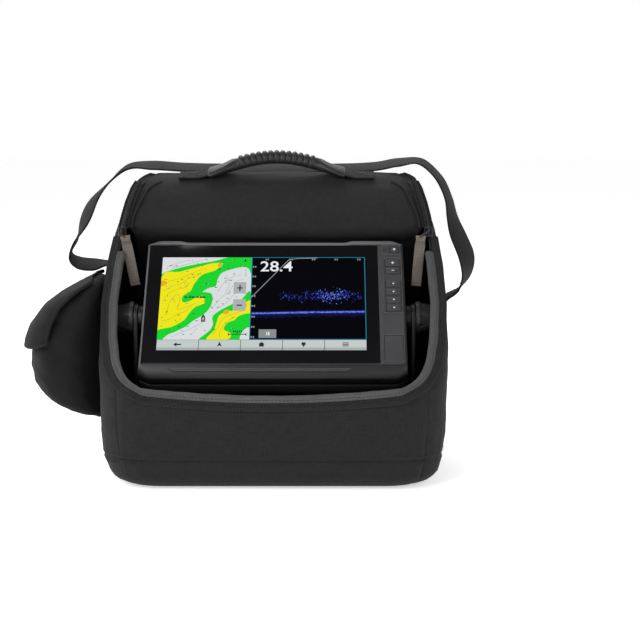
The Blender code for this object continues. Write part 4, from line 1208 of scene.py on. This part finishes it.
def makeStrap():
    line = smoothStops(strapShape["stops"], 10)
    centres = [Vector(p[:3]) * mm for p in line]
    acrosses = [Vector((p[3], -math.sqrt(max(0.0, 1 - p[3] ** 2 - p[4] ** 2)), p[4])) for p in line]
    final = len(line) - 1
    waves = [  # the ends are drawn in to fit their rings
        strapShape["width"] * (1 - 0.28 * max(0.0, 1 - min(n, final - n) / 12) ** 1.5) + 0.5 * pebble(c, 60, 3)
        for n, c in enumerate(centres)
    ]
    strap = webbing("shoulderBand", centres, acrosses, waves, strapShape["thick"], strapWebbing, "bag")
    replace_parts(strap, "shoulder_strap")
    print("strap length in metres", round(sum((b - a).length for a, b in zip(centres, centres[1:])), 3))
    for n, (first, last) in enumerate(((6, 24), (len(line) - 25, len(line) - 7))):
        for m, offset in enumerate((-15.5, 15.5)):
            path, outs = [], []
            for k in range(first, last):
                along = (centres[k + 1] - centres[k - 1]).normalized()
                across = (acrosses[k] - along * acrosses[k].dot(along)).normalized()
                up = along.cross(across)
                up = up if up.z > 0 else -up
                path.append(centres[k] + across * offset * mm + up * 1.1 * mm)
                outs.append(up)
            seed = 30 + n * 2 + m
            repeatAlong(f"strapStitches{n}{m}", path, outs, stitchItem, 0.0034, threadFinish, "bag", 0.1, seed)


makeStrap()


def makeRing(sign, label, y, z):
    path = []
    turn = Matrix.Rotation(sign * math.radians(-12), 3, "Y")
    middle = Vector((sign * 167.4, y, z - 14)) * mm
    for a, b in roundedOutline(-15, 15, -7.5, 7.5, 6.4, 6):
        path.append(middle + turn @ Vector((0, a, b)) * mm)
    ring = tube(f"ring{label}", path, 1.5 * mm, blackMetal, "bag", 12, closed=True)
    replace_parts(ring, f"d_ring_{label.lower()}")
    # the tab that holds the ring to the side
    tab = []
    for k in range(15):
        t = k / 14
        if t < 0.45:
            out, height = 1.8 + 3.0 * (t / 0.45), z - 40 + 22 * (t / 0.45)
        else:
            angle = (t - 0.45) / 0.55 * math.pi
            out, height = 4.8 + 0.6 - 0.6 * math.cos(angle), z - 18 + 7 * math.sin(angle / 2)
        tab.append(Vector((sign * (bagLevel(height)[0] + out), y, height)) * mm)
    webbing(f"ringTab{label}", tab, [Vector((0, 1, 0))] * len(tab), [24] * len(tab), 1.6, strapWebbing, "bag")


makeRing(-1, "Left", 72, 191)
makeRing(1, "Right", 58, 155)
print("handle and strap ready")

# the soft pouch on the left side
pouchShape = {
    "x": -164.4,
    "y": 10.0,
    "rows": [  # height, reach out from the bag, half length
        (48, 4, 26), (54, 24, 42), (62, 46, 52), (78, 68, 57), (102, 75, 59), (126, 74, 59),
        (141, 68, 58), (158, 56, 55), (168, 42, 50), (178, 24, 44), (184, 10, 34),
    ],
    "slack": 3.0,  # starts this much smaller, because the simulation swells it
    "voxel": 0.005,
    "pressure": 4,
    "steps": 20,
    "cap": 0.006,  # the most that a point may move
    "outermost": -0.2395,
}


def pouchRing(z, reach, half, backIn, count=40):
    ring = []
    for step in range(count):
        angle = 2 * math.pi * step / count
        across, along = math.sin(angle), math.cos(angle)
        long = math.copysign(abs(along) ** 0.75, along)
        wide = 0.5 + 0.5 * math.copysign(abs(across) ** 0.8, across)
        x = pouchShape["x"] - backIn - reach * wide
        ring.append(Vector((x, pouchShape["y"] + half * long, z)) * mm)
    return ring


def pouchRow(z):
    rows = pouchShape["rows"]
    for low, high in zip(rows, rows[1:]):
        if z <= high[0]:
            t = max(0.0, (z - low[0]) / (high[0] - low[0]))
            return [a + (b - a) * t for a, b in zip(low[1:], high[1:])]
    return list(rows[-1][1:])


def makePouch():
    sections, slack = [], pouchShape["slack"]
    for z, reach, half in smoothStops(pouchShape["rows"], 4):
        sections.append(pouchRing(z, max(slack, reach - slack), half - slack, 0.6))
    pouch = sweptPiece("sidePouch", sections, shadedPouchCloth, None, None)
    remesh = pouch.modifiers.new("even", "REMESH")
    remesh.mode = "VOXEL"
    remesh.voxel_size = pouchShape["voxel"]
    applied(pouch)
    rest = [v.co.copy() for v in pouch.data.vertices]
    cloth = pouch.modifiers.new("cloth", "CLOTH")
    cloth.settings.use_pressure = True
    cloth.settings.uniform_pressure_force = pouchShape["pressure"]
    cloth.settings.effector_weights.gravity = 0
    cloth.settings.quality = 6
    cloth.collision_settings.use_collision = False
    scene = bpy.context.scene
    for step in range(1, pouchShape["steps"] + 1):
        scene.frame_set(step)
        bpy.context.view_layer.update()
    applied(pouch)
    scene.frame_set(1)
    for vertex, start in zip(pouch.data.vertices, rest):
        moved = vertex.co - start
        if moved.length > pouchShape["cap"]:
            moved = moved.normalized() * pouchShape["cap"]
        vertex.co = start + moved
    centre = Vector((pouchShape["x"], pouchShape["y"], 116)) * mm
    for vertex in pouch.data.vertices:
        p = vertex.co
        away = (p - centre).normalized()
        free = min(1.0, max(0.0, (pouchShape["x"] * mm - p.x) / 0.012))
        crease = 0.0030 * pebble((p.x, p.y, p.z * 0.7), 24, 21) + 0.0016 * pebble((p.x * 1.2, p.y, p.z * 2), 60, 22)
        # a diagonal fold and the sunken mouth under the flap
        fold = -0.0045 * math.exp(-(((p.z - 0.118) + 0.55 * (p.x + 0.205)) / 0.006) ** 2)
        mouth = -0.003 * math.exp(-((p.z - 0.146) / 0.004) ** 2)
        vertex.co = p + away * (crease + fold * 0.8 + mouth) * free
        vertex.co.x = min(vertex.co.x, pouchShape["x"] * mm - 0.0004)
        vertex.co.x = max(vertex.co.x, pouchShape["outermost"])
    finer = pouch.modifiers.new("finer", "SUBSURF")
    finer.levels = finer.render_levels = 1
    applied(pouch)
    pouch.data.shade_smooth()
    uvFromSides(pouch.data)
    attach(pouch, "bag")
    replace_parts(pouch, "side_pouch")


def uvFromSides(mesh):
    # metres round the pouch and up it
    layer = mesh.uv_layers.get("cloth") or mesh.uv_layers.new(name="cloth")
    for polygon in mesh.polygons:
        normal = polygon.normal
        for index in polygon.loop_indices:
            co = mesh.vertices[mesh.loops[index].vertex_index].co
            if abs(normal.z) > 0.75:
                layer.data[index].uv = (co.x, co.y)
            elif abs(normal.x) > abs(normal.y):
                layer.data[index].uv = (co.y, co.z)
            else:
                layer.data[index].uv = (co.x, co.z)


makePouch()


def makePouchFlap():
    # the flap that lies over the pouch's top and front edge, with a bound border
    rows = []
    levels = (186, 184.5, 182, 178, 173, 168, 162, 156, 150, 144, 138, 132, 126, 121)
    for z in [float(p[0]) for p in smoothStops([(z, 0) for z in levels], 3)]:
        reach, half = pouchRow(min(z, 184))
        over = 2.6 if z < 176 else 1.8
        row = []
        for i in range(57):
            t = i / 28 - 1
            angle = math.radians(78) * t
            y = pouchShape["y"] + (half + over) * math.copysign(abs(math.sin(angle)) ** 0.75, t)
            x = pouchShape["x"] - (reach + over) * (0.5 + 0.5 * abs(math.cos(angle)) ** 0.8)
            droop = 7 * abs(t) ** 3 * (1 - (z - 121) / 65)
            p = Vector((x, y, z + droop)) * mm
            away = Vector((p.x - pouchShape["x"] * mm, p.y - pouchShape["y"] * mm, 0.03)).normalized()
            p += away * (0.0011 * pebble(p, 34, 31) + 0.0005 * pebble(p, 80, 32))
            p.x = min(max(p.x, -0.2445), pouchShape["x"] * mm)
            row.append(p)
        rows.append(row)
    gridPiece("pouchFlap", rows, 0.0022, shadedPouchCloth, "bag", 0.0)
    border = [row[0] for row in rows[4:]] + rows[-1][1:-1] + [row[-1] for row in reversed(rows[4:])]
    tube("pouchFlapEdge", border, 1.7 * mm, zipTape, "bag", 8)


makePouchFlap()
print("pouch ready")

# hard parts, with their edges eased
hardParts = {
    "front_bezel": (casePlastic, 0.0005, 2),
    "rear_housing": (housingPlastic, 0.0005, 2),
    "housing_gasket": (sealRubber, 0.0002, 1),
    "cover_glass": (coverGlass, 0.0001, 1),
    "main_board": (boardFinish, 0.0001, 1),
    "keypad_mat": (sealRubber, 0.0002, 1),
    "card_reader": (blackMetal, 0.0002, 1),
    "card_door": (casePlastic, 0.0003, 2),
    "power_socket": (housingPlastic, 0.0003, 2),
    "sonar_socket": (housingPlastic, 0.0003, 2),
    "cradle_frame": (bracketPlastic, 0.0006, 2),
    "cradle_latch": (casePlastic, 0.0005, 2),
    "bail_bracket": (bracketPlastic, 0.0006, 2),
    "knob_left": (knobPlastic, 0.0006, 3),
    "knob_right": (knobPlastic, 0.0006, 3),
    "base_tray": (trayPlastic, 0.0008, 2),
    "battery_case": (batteryPlastic, 0.0008, 2),
    "battery_lid": (batteryPlastic, 0.0008, 2),
    "battery_terminal_plus": (terminalMetal, 0.0002, 1),
    "battery_terminal_minus": (terminalMetal, 0.0002, 1),
    "latch_pin": (steelFinish, 0.0001, 1),
    "knob_stud_left": (steelFinish, 0.0002, 1),
    "knob_stud_right": (steelFinish, 0.0002, 1),
}
for node, (finish, width, segments) in hardParts.items():
    eased(node, finish, width, segments)


def paintBevelLightAndShade(piece):
    # the case's top and side bevels get a paler plastic as painted highlight, and its underside a darker one as painted
    # shade
    piece.data.materials.append(bezelPaintedHighlight)
    piece.data.materials.append(bracketPlastic)
    case = Matrix.Rotation(math.radians(45), 3, "X")
    for polygon in piece.data.polygons:
        normal = case @ polygon.normal  # in the display's own frame
        middle = case @ (polygon.center - Vector((0, -8, 146)) * mm)
        if middle.y < -0.0205 and normal.y < -0.2 and (normal.z > 0.3 or normal.x < -0.4) and middle.length > 0.05:
            if middle.z > 0.062 or middle.x < -0.119:
                # painted highlight: the top and left bevels, which face the light
                polygon.material_index = 1
        if normal.z < -0.25 and middle.z < -0.07:
            # painted shade: the underside, which faces down away from the light
            polygon.material_index = 2


paintBevelLightAndShade(bpy.data.objects["front_bezelEased"])
for n in range(1, 5):
    eased(f"case_screw_{n}", steelFinish, 0.0002, 1)
    eased(f"bail_screw_{n}", steelFinish, 0.0002, 1)
for key in ("power_key", "plus_key", "minus_key", "user_key_1", "user_key_2", "user_key_3", "user_key_4"):
    eased(key, keyRubber, 0.0003, 2)
nodes["lcd_panel"].data.materials.clear()
nodes["lcd_panel"].data.materials.append(sealRubber)
print("hard parts ready")

# trims of the display
def onDisplay(x, y, z):
    # millimetres in the display's own frame: x right, y into the case, z up the screen
    c, (axisY, axisZ) = math.sqrt(0.5), trimShape["axis"]
    return Vector((x, c * (y + z) + axisY, c * (z - y) + axisZ)) * mm


trimShape = {
    "axis": (-8, 146),  # where the knobs' axis is, in y and z
    "front": -26.0,
    "middle": -5.0,  # the case's middle below the knobs' axis
    "keyX": 113.8,
    "keyFront": -27.0,
    "keys": {"power": 68.0, "plus": 51.2, "minus": 42.0, "one": 26.0, "two": 16.5, "three": 7.0, "four": -2.5},
    "door": (112.6, -48.8, 17.6, 28.8),
}


def ridge(name, outline, finish, width=0.9, high=0.55):
    # a raised closed line on the case's front: outline in mm across and up from the case's middle
    count = len(outline)
    sections = []
    for n in range(count):
        here, before, after = Vector(outline[n]), Vector(outline[n - 1]), Vector(outline[(n + 1) % count])
        along = (after - before).normalized()
        side = Vector((-along.y, along.x)) * width / 2
        ring = []
        for a, b in ((-1, 0.12), (-0.75, -high * 0.8), (-0.4, -high), (0.4, -high), (0.75, -high * 0.8), (1, 0.12)):
            p = here + side * a
            ring.append(onDisplay(p.x, trimShape["front"] + b, trimShape["middle"] + p.y))
        sections.append(ring)
    sections.append(sections[0])
    return sweptPiece(name, sections, finish, "display", 60, True)


def slab(name, outline, front, back, finish, body="display", ease=0.0003):
    # a plate with this outline (mm from the case's middle) between two depths
    def build(bm):
        lower = [bm.verts.new(onDisplay(x, back, trimShape["middle"] + z)) for x, z in outline]
        upper = [bm.verts.new(onDisplay(x, front, trimShape["middle"] + z)) for x, z in outline]
        for i in range(len(outline)):
            j = (i + 1) % len(outline)
            bm.faces.new((lower[i], lower[j], upper[j], upper[i]))
        bm.faces.new(lower)
        bm.faces.new(upper)

    piece = addPiece(name, meshFrom(name, build), finish, None, None)
    if ease:
        edge = piece.modifiers.new("edge", "BEVEL")
        edge.width = ease
        edge.segments = 2
        edge.limit_method = "ANGLE"
        edge.angle_limit = math.radians(30)
        applied(piece)
    piece.data.shade_smooth()
    piece.data.set_sharp_from_angle(angle=math.radians(32))
    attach(piece, body)
    return piece


def frameOutline(x, z, w, h, r):
    return roundedOutline(x - w / 2, x + w / 2, z - h / 2, z + h / 2, r, 3)


def makeTrims():
    keys, x, face = trimShape["keys"], trimShape["keyX"], trimShape["keyFront"]
    ridge("powerFrame", frameOutline(112.6, 68, 17.8, 11.6, 1.8), trimPlastic)
    ridge("keyFrame", frameOutline(x - 0.6, 24.6, 17.6, 66.5, 2.0), trimPlastic)
    door = trimShape["door"]
    ridge("doorFrame", frameOutline(door[0], door[1], door[2] + 1.6, door[3] + 1.6, 0.8), trimPlastic, 0.7, 0.4)
    slab("powerSensor", frameOutline(106.6, 68, 2.6, 2.6, 1.25), -26.35, -25.8, knobPlastic, ease=0.0001)
    chin = [(-97, -71.5), (-91, -74.4), (68, -74.4), (74, -71.5), (70, -70.9), (-93, -70.9)]
    slab("chinLip", chin, -25.6, -22.0, casePlastic)
    # marks on the keys: plain signs only
    signs = {
        "power": [[(1.0, -1.2), (3.0, -1.2), (3.0, 1.2), (1.0, 1.2)]],
        "plus": [
            [(-1.5, -0.4), (1.5, -0.4), (1.5, 0.4), (-1.5, 0.4)],
            [(-0.4, 0.4), (0.4, 0.4), (0.4, 1.5), (-0.4, 1.5)],
            [(-0.4, -1.5), (0.4, -1.5), (0.4, -0.4), (-0.4, -0.4)],
        ],
        "minus": [[(-1.4, -0.4), (1.4, -0.4), (1.4, 0.4), (-1.4, 0.4)]],
    }
    bodies = {"power": "power_button", "plus": "plus_button", "minus": "minus_button", "one": "user_button_1",
              "two": "user_button_2", "three": "user_button_3", "four": "user_button_4"}
    for key, height in keys.items():
        shapes = signs.get(key) or [frameOutline(0, 0, 1.7, 1.7, 0.8)]
        for n, shape in enumerate(shapes):
            moved = [(x + a, height + b) for a, b in shape]
            slab(f"{key}Mark{n}", moved, face - 0.12, face + 0.2, markPaint, bodies[key], 0)


makeTrims()

# the lit picture
screenShape = {
    "left": -109.0,
    "top": 53.6,
    "width": 196.0,
    "height": 110.0,
    "front": -26.0,
    "layer": 0.02,
    "chartShare": 0.44,
    "barShare": 0.11,
    "seed": 17,
}


class Picture:  # flat patches of light, later ones in front
    def __init__(self, name, glows):
        self.name = name
        self.glows = list(glows)
        self.bm = bmesh.new()

    def patch(self, glow, layer, points):
        depth = screenShape["front"] - 0.03 - layer * screenShape["layer"]
        verts = []
        for u, v in points:
            x = screenShape["left"] + u * screenShape["width"]
            z = screenShape["top"] - v * screenShape["height"]
            verts.append(self.bm.verts.new(onDisplay(x, depth, z)))
        face = self.bm.faces.new(verts)
        face.material_index = self.glows.index(glow)
        face.normal_update()
        if face.normal.y > 0:
            face.normal_flip()

    def finish(self, body):
        bmesh.ops.triangulate(self.bm, faces=self.bm.faces)
        mesh = bpy.data.meshes.new(self.name)
        self.bm.to_mesh(mesh)
        self.bm.free()
        for glow in self.glows:
            mesh.materials.append(glow)
        return addPiece(self.name, mesh, None, body, None)


def softLoop(points, steps=4):
    # a closed shape with its corners rounded off, kept inside the unit square
    count = len(points)
    found = []
    for n in range(count):
        a, b, c, d = (Vector(points[(n + k - 1) % count]) for k in range(4))
        straight = any(b[i] == c[i] and b[i] in (0, 1) for i in (0, 1))
        for step in range(1 if straight else steps):
            t = step / steps
            p = 0.5 * (2 * b + (c - a) * t + (2 * a - 5 * b + 4 * c - d) * t**2 + (3 * b - a - 3 * c + d) * t**3)
            found.append((min(1, max(0, p.x)), min(1, max(0, p.y))))
    return found


def strokePoints(line, width):
    line = [Vector(p) for p in line]
    left, right = [], []
    for n, p in enumerate(line):
        along = line[min(len(line) - 1, n + 1)] - line[max(0, n - 1)]
        along = Vector((along.x * 1.78, along.y)).normalized()
        side = Vector((-along.y / 1.78, along.x)) * width / 2
        left.append(p + side)
        right.append(p - side)
    return [tuple(p) for p in left + right[::-1]]


screenGlow = {
    "paper": glowFinish("glowPaper", (0.70, 0.73, 0.74)),
    "yellow": glowFinish("glowYellow", (0.86, 0.80, 0.01)),
    "green": glowFinish("glowGreen", (0.01, 0.66, 0.03)),
    "orange": glowFinish("glowOrange", (0.80, 0.42, 0.03)),
    "contour": glowFinish("glowContour", (0.42, 0.34, 0.06)),
    "greyLine": glowFinish("glowGreyLine", (0.32, 0.36, 0.40)),
    "mark": glowFinish("glowMark", (0.02, 0.03, 0.035)),
    "box": glowFinish("glowBox", (0.42, 0.44, 0.43)),
    "bar": glowFinish("glowBar", (0.55, 0.60, 0.59)),
    "barShade": glowFinish("glowBarShade", (0.40, 0.44, 0.44)),
    "night": glowFinish("glowNight", (0.0006, 0.0006, 0.0022)),
    "frame": glowFinish("glowFrame", (0.02, 0.26, 0.44)),
    "white": glowFinish("glowWhite", (0.85, 0.87, 0.88)),
    "grey": glowFinish("glowGrey", (0.26, 0.27, 0.27)),
    "deepBlue": glowFinish("glowDeepBlue", (0.004, 0.004, 0.035)),
    "blue": glowFinish("glowBlue", (0.015, 0.02, 0.24)),
    "midBlue": glowFinish("glowMidBlue", (0.05, 0.08, 0.52)),
    "brightBlue": glowFinish("glowBrightBlue", (0.16, 0.26, 0.85)),
}
chartPatches = [
    ("green", 1, [
        (0, .21), (.2, .13), (.4, .08), (.6, .04), (.74, 0), (1, 0), (1, .2), (.96, .14), (.86, .13),
        (.74, .17), (.62, .22), (.5, .28), (.3, .3), (.1, .32), (0, .33),
    ]),
    ("yellow", 2, [
        (0, .25), (.2, .18), (.4, .12), (.56, .075), (.68, .08), (.62, .15), (.56, .25), (.5, .4), (.52, .54),
        (.4, .62), (.33, .7), (.28, .78), (.15, .86), (0, .9),
    ]),
    ("green", 3, [
        (.68, .08), (.6, .16), (.45, .22), (.37, .33), (.33, .42), (.25, .48), (.25, .55), (.31, .55), (.4, .5),
        (.5, .47), (.58, .46), (.66, .36), (.66, .22), (.82, .16), (.9, .11), (.84, .06),
    ]),
    ("green", 3, [
        (.46, .44), (.57, .46), (.58, .55), (.54, .65), (.47, .72), (.38, .78), (.28, .87), (.12, .94),
        (.06, 1), (0, 1), (0, .89), (.15, .85), (.28, .77), (.33, .69), (.4, .61), (.5, .56),
    ]),
    ("paper", 4, [
        (.68, .19), (.85, .13), (.95, .13), (.99, .2), (.97, .32), (.97, .42), (.87, .5), (.8, .58), (.68, .64),
        (.6, .70), (.57, .76), (.57, .83), (.51, .9), (.43, .97), (.36, 1), (.08, 1), (.12, .95), (.3, .85),
        (.38, .78), (.46, .73), (.54, .67), (.58, .56), (.58, .48), (.55, .44), (.47, .43), (.54, .38),
        (.61, .36), (.63, .27),
    ]),
    ("green", 5, [
        (1, .44), (.9, .52), (.76, .60), (.66, .66), (.59, .73), (.6, .82), (.56, .9), (.45, 1), (.56, 1),
        (1, 1),
    ]),
    ("yellow", 6, [
        (1, .53), (.86, .63), (.68, .7), (.64, .8), (.61, .9), (.54, 1), (.76, 1), (.80, .93), (.72, .88),
        (.76, .8), (.86, .76), (.92, .7), (1, .68),
    ]),
    ("green", 7, [(.84, .76), (.9, .71), (1, .70), (1, .86), (.94, .88), (.86, .87), (.80, .84)]),
    ("paper", 8, [(.93, .90), (1, .86), (1, 1), (.90, 1)]),
    ("orange", 7, [(0, .30), (.04, .29), (.07, .32), (.04, .35), (0, .36)]),
    ("orange", 7, [(.72, .655), (.76, .65), (.77, .68), (.74, .70), (.71, .69)]),
    ("orange", 7, [(.62, .09), (.66, .08), (.67, .105), (.64, .13)]),
    ("orange", 7, [(.9, .58), (.95, .56), (.96, .61), (.92, .64)]),
]
contourLines = [
    ("contour", [(.04, .42), (.12, .36), (.22, .33), (.3, .27), (.42, .21)]),
    ("contour", [(.03, .55), (.08, .46), (.18, .40), (.26, .38), (.32, .31)]),
    ("contour", [(.08, .72), (.1, .6), (.14, .5), (.2, .46), (.22, .54), (.2, .64), (.28, .62), (.4, .57)]),
    ("contour", [(.03, .78), (.12, .76), (.2, .7), (.28, .67), (.36, .6)]),
    ("contour", [(.1, .3), (.24, .25), (.38, .18), (.5, .14)]),
    ("contour", [(.6, .95), (.66, .85), (.7, .76), (.8, .7), (.92, .66)]),
    ("contour", [(.68, .98), (.68, .9), (.74, .8), (.84, .73)]),
    ("greyLine", [(.64, .42), (.7, .32), (.8, .24), (.9, .22)]),
    ("greyLine", [(.6, .6), (.68, .5), (.76, .42), (.84, .3), (.92, .28)]),
    ("greyLine", [(.62, .64), (.74, .56), (.82, .46), (.9, .4)]),
    ("greyLine", [(.16, .97), (.3, .9), (.42, .84), (.52, .76)]),
    ("greyLine", [(.05, .12), (.2, .06), (.34, .03)]),
    ("greyLine", [(.1, .15), (.3, .08), (.5, .02)]),
    ("greyLine", [(.72, .22), (.76, .34), (.72, .44)]),
]


def makePicture():
    draw = Picture("screenPicture", screenGlow.values())
    glow = screenGlow
    draws = random.Random(screenShape["seed"])
    share, low = screenShape["chartShare"], 1 - screenShape["barShare"]

    def chart(points):
        return [(u * share, v * low) for u, v in points]

    def sonar(points):
        return [(share + u * (1 - share), v * low) for u, v in points]

    def rectangle(u0, v0, u1, v1):
        return [(u0, v0), (u1, v0), (u1, v1), (u0, v1)]

    draw.patch(glow["paper"], 0, chart(rectangle(0, 0, 1, 1)))
    for name, layer, points in chartPatches:
        draw.patch(glow[name], layer, chart(softLoop(points)))
    for name, line in contourLines:
        smooth = [tuple(p) for p in smoothStops(line, 4)]
        draw.patch(glow[name], 9, strokePoints(chart(smooth), 0.0035))
    for _ in range(150):  # soundings
        u, v = draws.uniform(0.02, 0.97), draws.uniform(0.02, 0.97)
        wide, tall = draws.uniform(0.006, 0.012), draws.uniform(0.006, 0.011)
        draw.patch(glow["mark" if draws.random() < 0.6 else "greyLine"], 10, chart(rectangle(u, v, u + wide, v + tall)))
        if draws.random() < 0.5:
            draw.patch(glow["mark"], 10, chart(rectangle(u + wide * 1.4, v, u + wide * 2.2, v + tall)))
    for u in (0.27, 0.315, 0.35, 0.4, 0.44, 0.47):
        draw.patch(glow["mark"], 11, chart(rectangle(u, 0.485, u + 0.03, 0.503)))
    for v in (0.31, 0.52):
        draw.patch(glow["box"], 12, chart(rectangle(0.81, v, 0.95, v + 0.14)))
        draw.patch(glow["mark"], 13, chart(rectangle(0.85, v + 0.065, 0.91, v + 0.08)))
    draw.patch(glow["mark"], 13, chart(rectangle(0.873, 0.345, 0.887, 0.42)))
    draw.patch(glow["mark"], 13, chart([(.468, .79), (.468, .735), (.49, .70), (.512, .735), (.512, .79)]))
    draw.patch(glow["box"], 14, chart([(.480, .775), (.480, .742), (.49, .73), (.5, .742), (.5, .775)]))
    draw.patch(glow["mark"], 13, chart([(.915, .055), (.93, .02), (.945, .055)]))
    draw.patch(glow["mark"], 13, chart(rectangle(0.77, 0.935, 0.97, 0.943)))
    draw.patch(glow["mark"], 13, chart([(.77, .92), (.79, .939), (.77, .958)]))
    draw.patch(glow["mark"], 13, chart([(.97, .92), (.95, .939), (.97, .958)]))
    for k in range(5):
        draw.patch(glow["mark"], 13, chart(rectangle(0.82 + 0.022 * k, 0.895, 0.834 + 0.022 * k, 0.912)))

    draw.patch(glow["night"], 0, sonar(rectangle(0, 0, 1, 1)))
    edge = 0.0035
    thin = edge * 1.6
    for sides in ((0, 0, 1, thin), (0, 1 - thin, 1, 1), (0, 0, edge * 2, 1), (1 - thin, 0, 1, 1)):
        draw.patch(glow["frame"], 12, sonar(rectangle(*sides)))
    bands = ((0.060, "deepBlue"), (0.034, "blue"), (0.020, "midBlue"))
    for layer, (tall, name) in enumerate(bands):
        top, bottom = [], []
        for k in range(61):
            u = 0.012 + 0.976 * k / 60
            middle = 0.688 - 0.022 * u + 0.002 * math.sin(u * 9)
            wobble = draws.uniform(0.75, 1.2)
            top.append((u, middle - tall * 0.42 * wobble))
            bottom.append((u, middle + tall * (0.5 + 0.4 * (layer == 0)) * wobble))
        draw.patch(glow[name], 1 + layer, sonar(top + bottom[::-1]))
    for _ in range(210):
        u = draws.uniform(0.012, 0.985)
        middle = 0.686 - 0.022 * u + draws.uniform(-0.007, 0.006)
        wide, tall = draws.uniform(0.004, 0.016), draws.uniform(0.004, 0.008)
        if 0.36 < u < 0.40 and draws.random() < 0.8:
            continue
        draw.patch(glow["brightBlue"], 5, sonar(rectangle(u, middle, min(0.99, u + wide), middle + tall)))
    for _ in range(900):  # fish and weed over the bottom
        u = draws.uniform(0.25, 0.96)
        dense = math.exp(-(((u - 0.70) / 0.18) ** 2)) * 0.85 + 0.15
        if draws.random() > dense:
            continue
        v = draws.gauss(0.472 + 0.01 * math.sin(u * 20), 0.026 + 0.012 * dense)
        wide, tall = draws.uniform(0.003, 0.008), draws.uniform(0.006, 0.020)
        lean = draws.uniform(-0.3, 0.5) * tall
        name = draws.choice(("blue", "blue", "midBlue", "deepBlue", "brightBlue" if dense > 0.7 else "blue"))
        draw.patch(glow[name], 4, sonar([(u, v), (u + wide, v), (u + wide + lean, v + tall), (u + lean, v + tall)]))
    line = sonar([(0.004, 0.5), (0.33, 0.03), (0.4, 0.015), (0.58, 0.008)])
    draw.patch(glow["greyLine"], 6, strokePoints(line, 0.006))
    for u in (0.14, 0.35, 0.55, 0.75, 0.95):
        for k in range(2):
            draw.patch(glow["grey"], 7, sonar(rectangle(u - 0.018 + k * 0.018, 0.018, u - 0.006 + k * 0.018, 0.036)))
    for v in (0.12, 0.24, 0.36, 0.48, 0.60, 0.73, 0.85, 0.97):
        for k in range(2):
            draw.patch(glow["grey"], 7, sonar(rectangle(0.012 + k * 0.018, v - 0.01, 0.024 + k * 0.018, v + 0.01)))
    draw.patch(glow["grey"], 7, sonar(rectangle(0.08, 0.88, 0.23, 0.98)))
    draw.patch(glow["white"], 8, sonar(rectangle(0.145, 0.91, 0.152, 0.95)))
    draw.patch(glow["white"], 8, sonar(rectangle(0.16, 0.91, 0.172, 0.95)))

    for k in range(5):  # soft keys, each with a plain icon
        u0, u1 = k / 5 + 0.0012, (k + 1) / 5 - 0.0012
        draw.patch(glow["bar"], 12, rectangle(u0, low + 0.004, u1, 1))
        draw.patch(glow["barShade"], 13, rectangle(u0, 0.972, u1, 1))
        middle, line = (u0 + u1) / 2, (low + 1) / 2 - 0.004
        icons = (
            [
                [(-0.020, 0), (-0.004, -0.022), (-0.004, 0.022)],
                [(-0.004, -0.007), (0.018, -0.007), (0.018, 0.007), (-0.004, 0.007)],
            ],
            [[(0, -0.028), (0.012, 0.022), (0, 0.010), (-0.012, 0.022)]],
            [
                [(0, -0.026), (0.016, -0.002), (-0.016, -0.002)],
                [(-0.011, -0.002), (0.011, -0.002), (0.011, 0.022), (-0.011, 0.022)],
            ],
            [[(0, 0.026), (-0.011, -0.006), (-0.007, -0.022), (0.007, -0.022), (0.011, -0.006)]],
            [[(-0.015, y), (0.015, y), (0.015, y + 0.008), (-0.015, y + 0.008)] for y in (-0.020, -0.004, 0.012)],
        )
        for shape in icons[k]:
            draw.patch(glow["mark"], 14, [(middle + a, line + b) for a, b in shape])
    draw.finish("display")


makePicture()


def makeReading():
    # the depth reading, as plain figures
    curve = bpy.data.curves.new("reading", "FONT")
    curve.body = "28.4"
    curve.size = 17.5
    curve.resolution_u = 4
    curve.offset = 0.12
    holder = bpy.data.objects.new("reading", curve)
    bpy.context.scene.collection.objects.link(holder)
    bpy.context.view_layer.update()
    mesh = bpy.data.meshes.new_from_object(holder)
    bpy.data.objects.remove(holder)
    left = screenShape["left"] + screenShape["width"] * (screenShape["chartShare"] + 0.56 * 0.075)
    base = screenShape["top"] - screenShape["height"] * 0.89 * 0.175
    for vertex in mesh.vertices:
        x, y = vertex.co.x * 1.06, vertex.co.y
        vertex.co = onDisplay(left + x, screenShape["front"] - 0.24, base + y)
    bm = bmesh.new()
    bm.from_mesh(mesh)
    bmesh.ops.remove_doubles(bm, verts=bm.verts, dist=1e-6)
    for face in bm.faces:
        face.normal_update()
        if face.normal.y > 0:
            face.normal_flip()
    bm.to_mesh(mesh)
    bm.free()
    addPiece("depthReading", mesh, screenGlow["white"], "display", None)


makeReading()
print("screen ready")
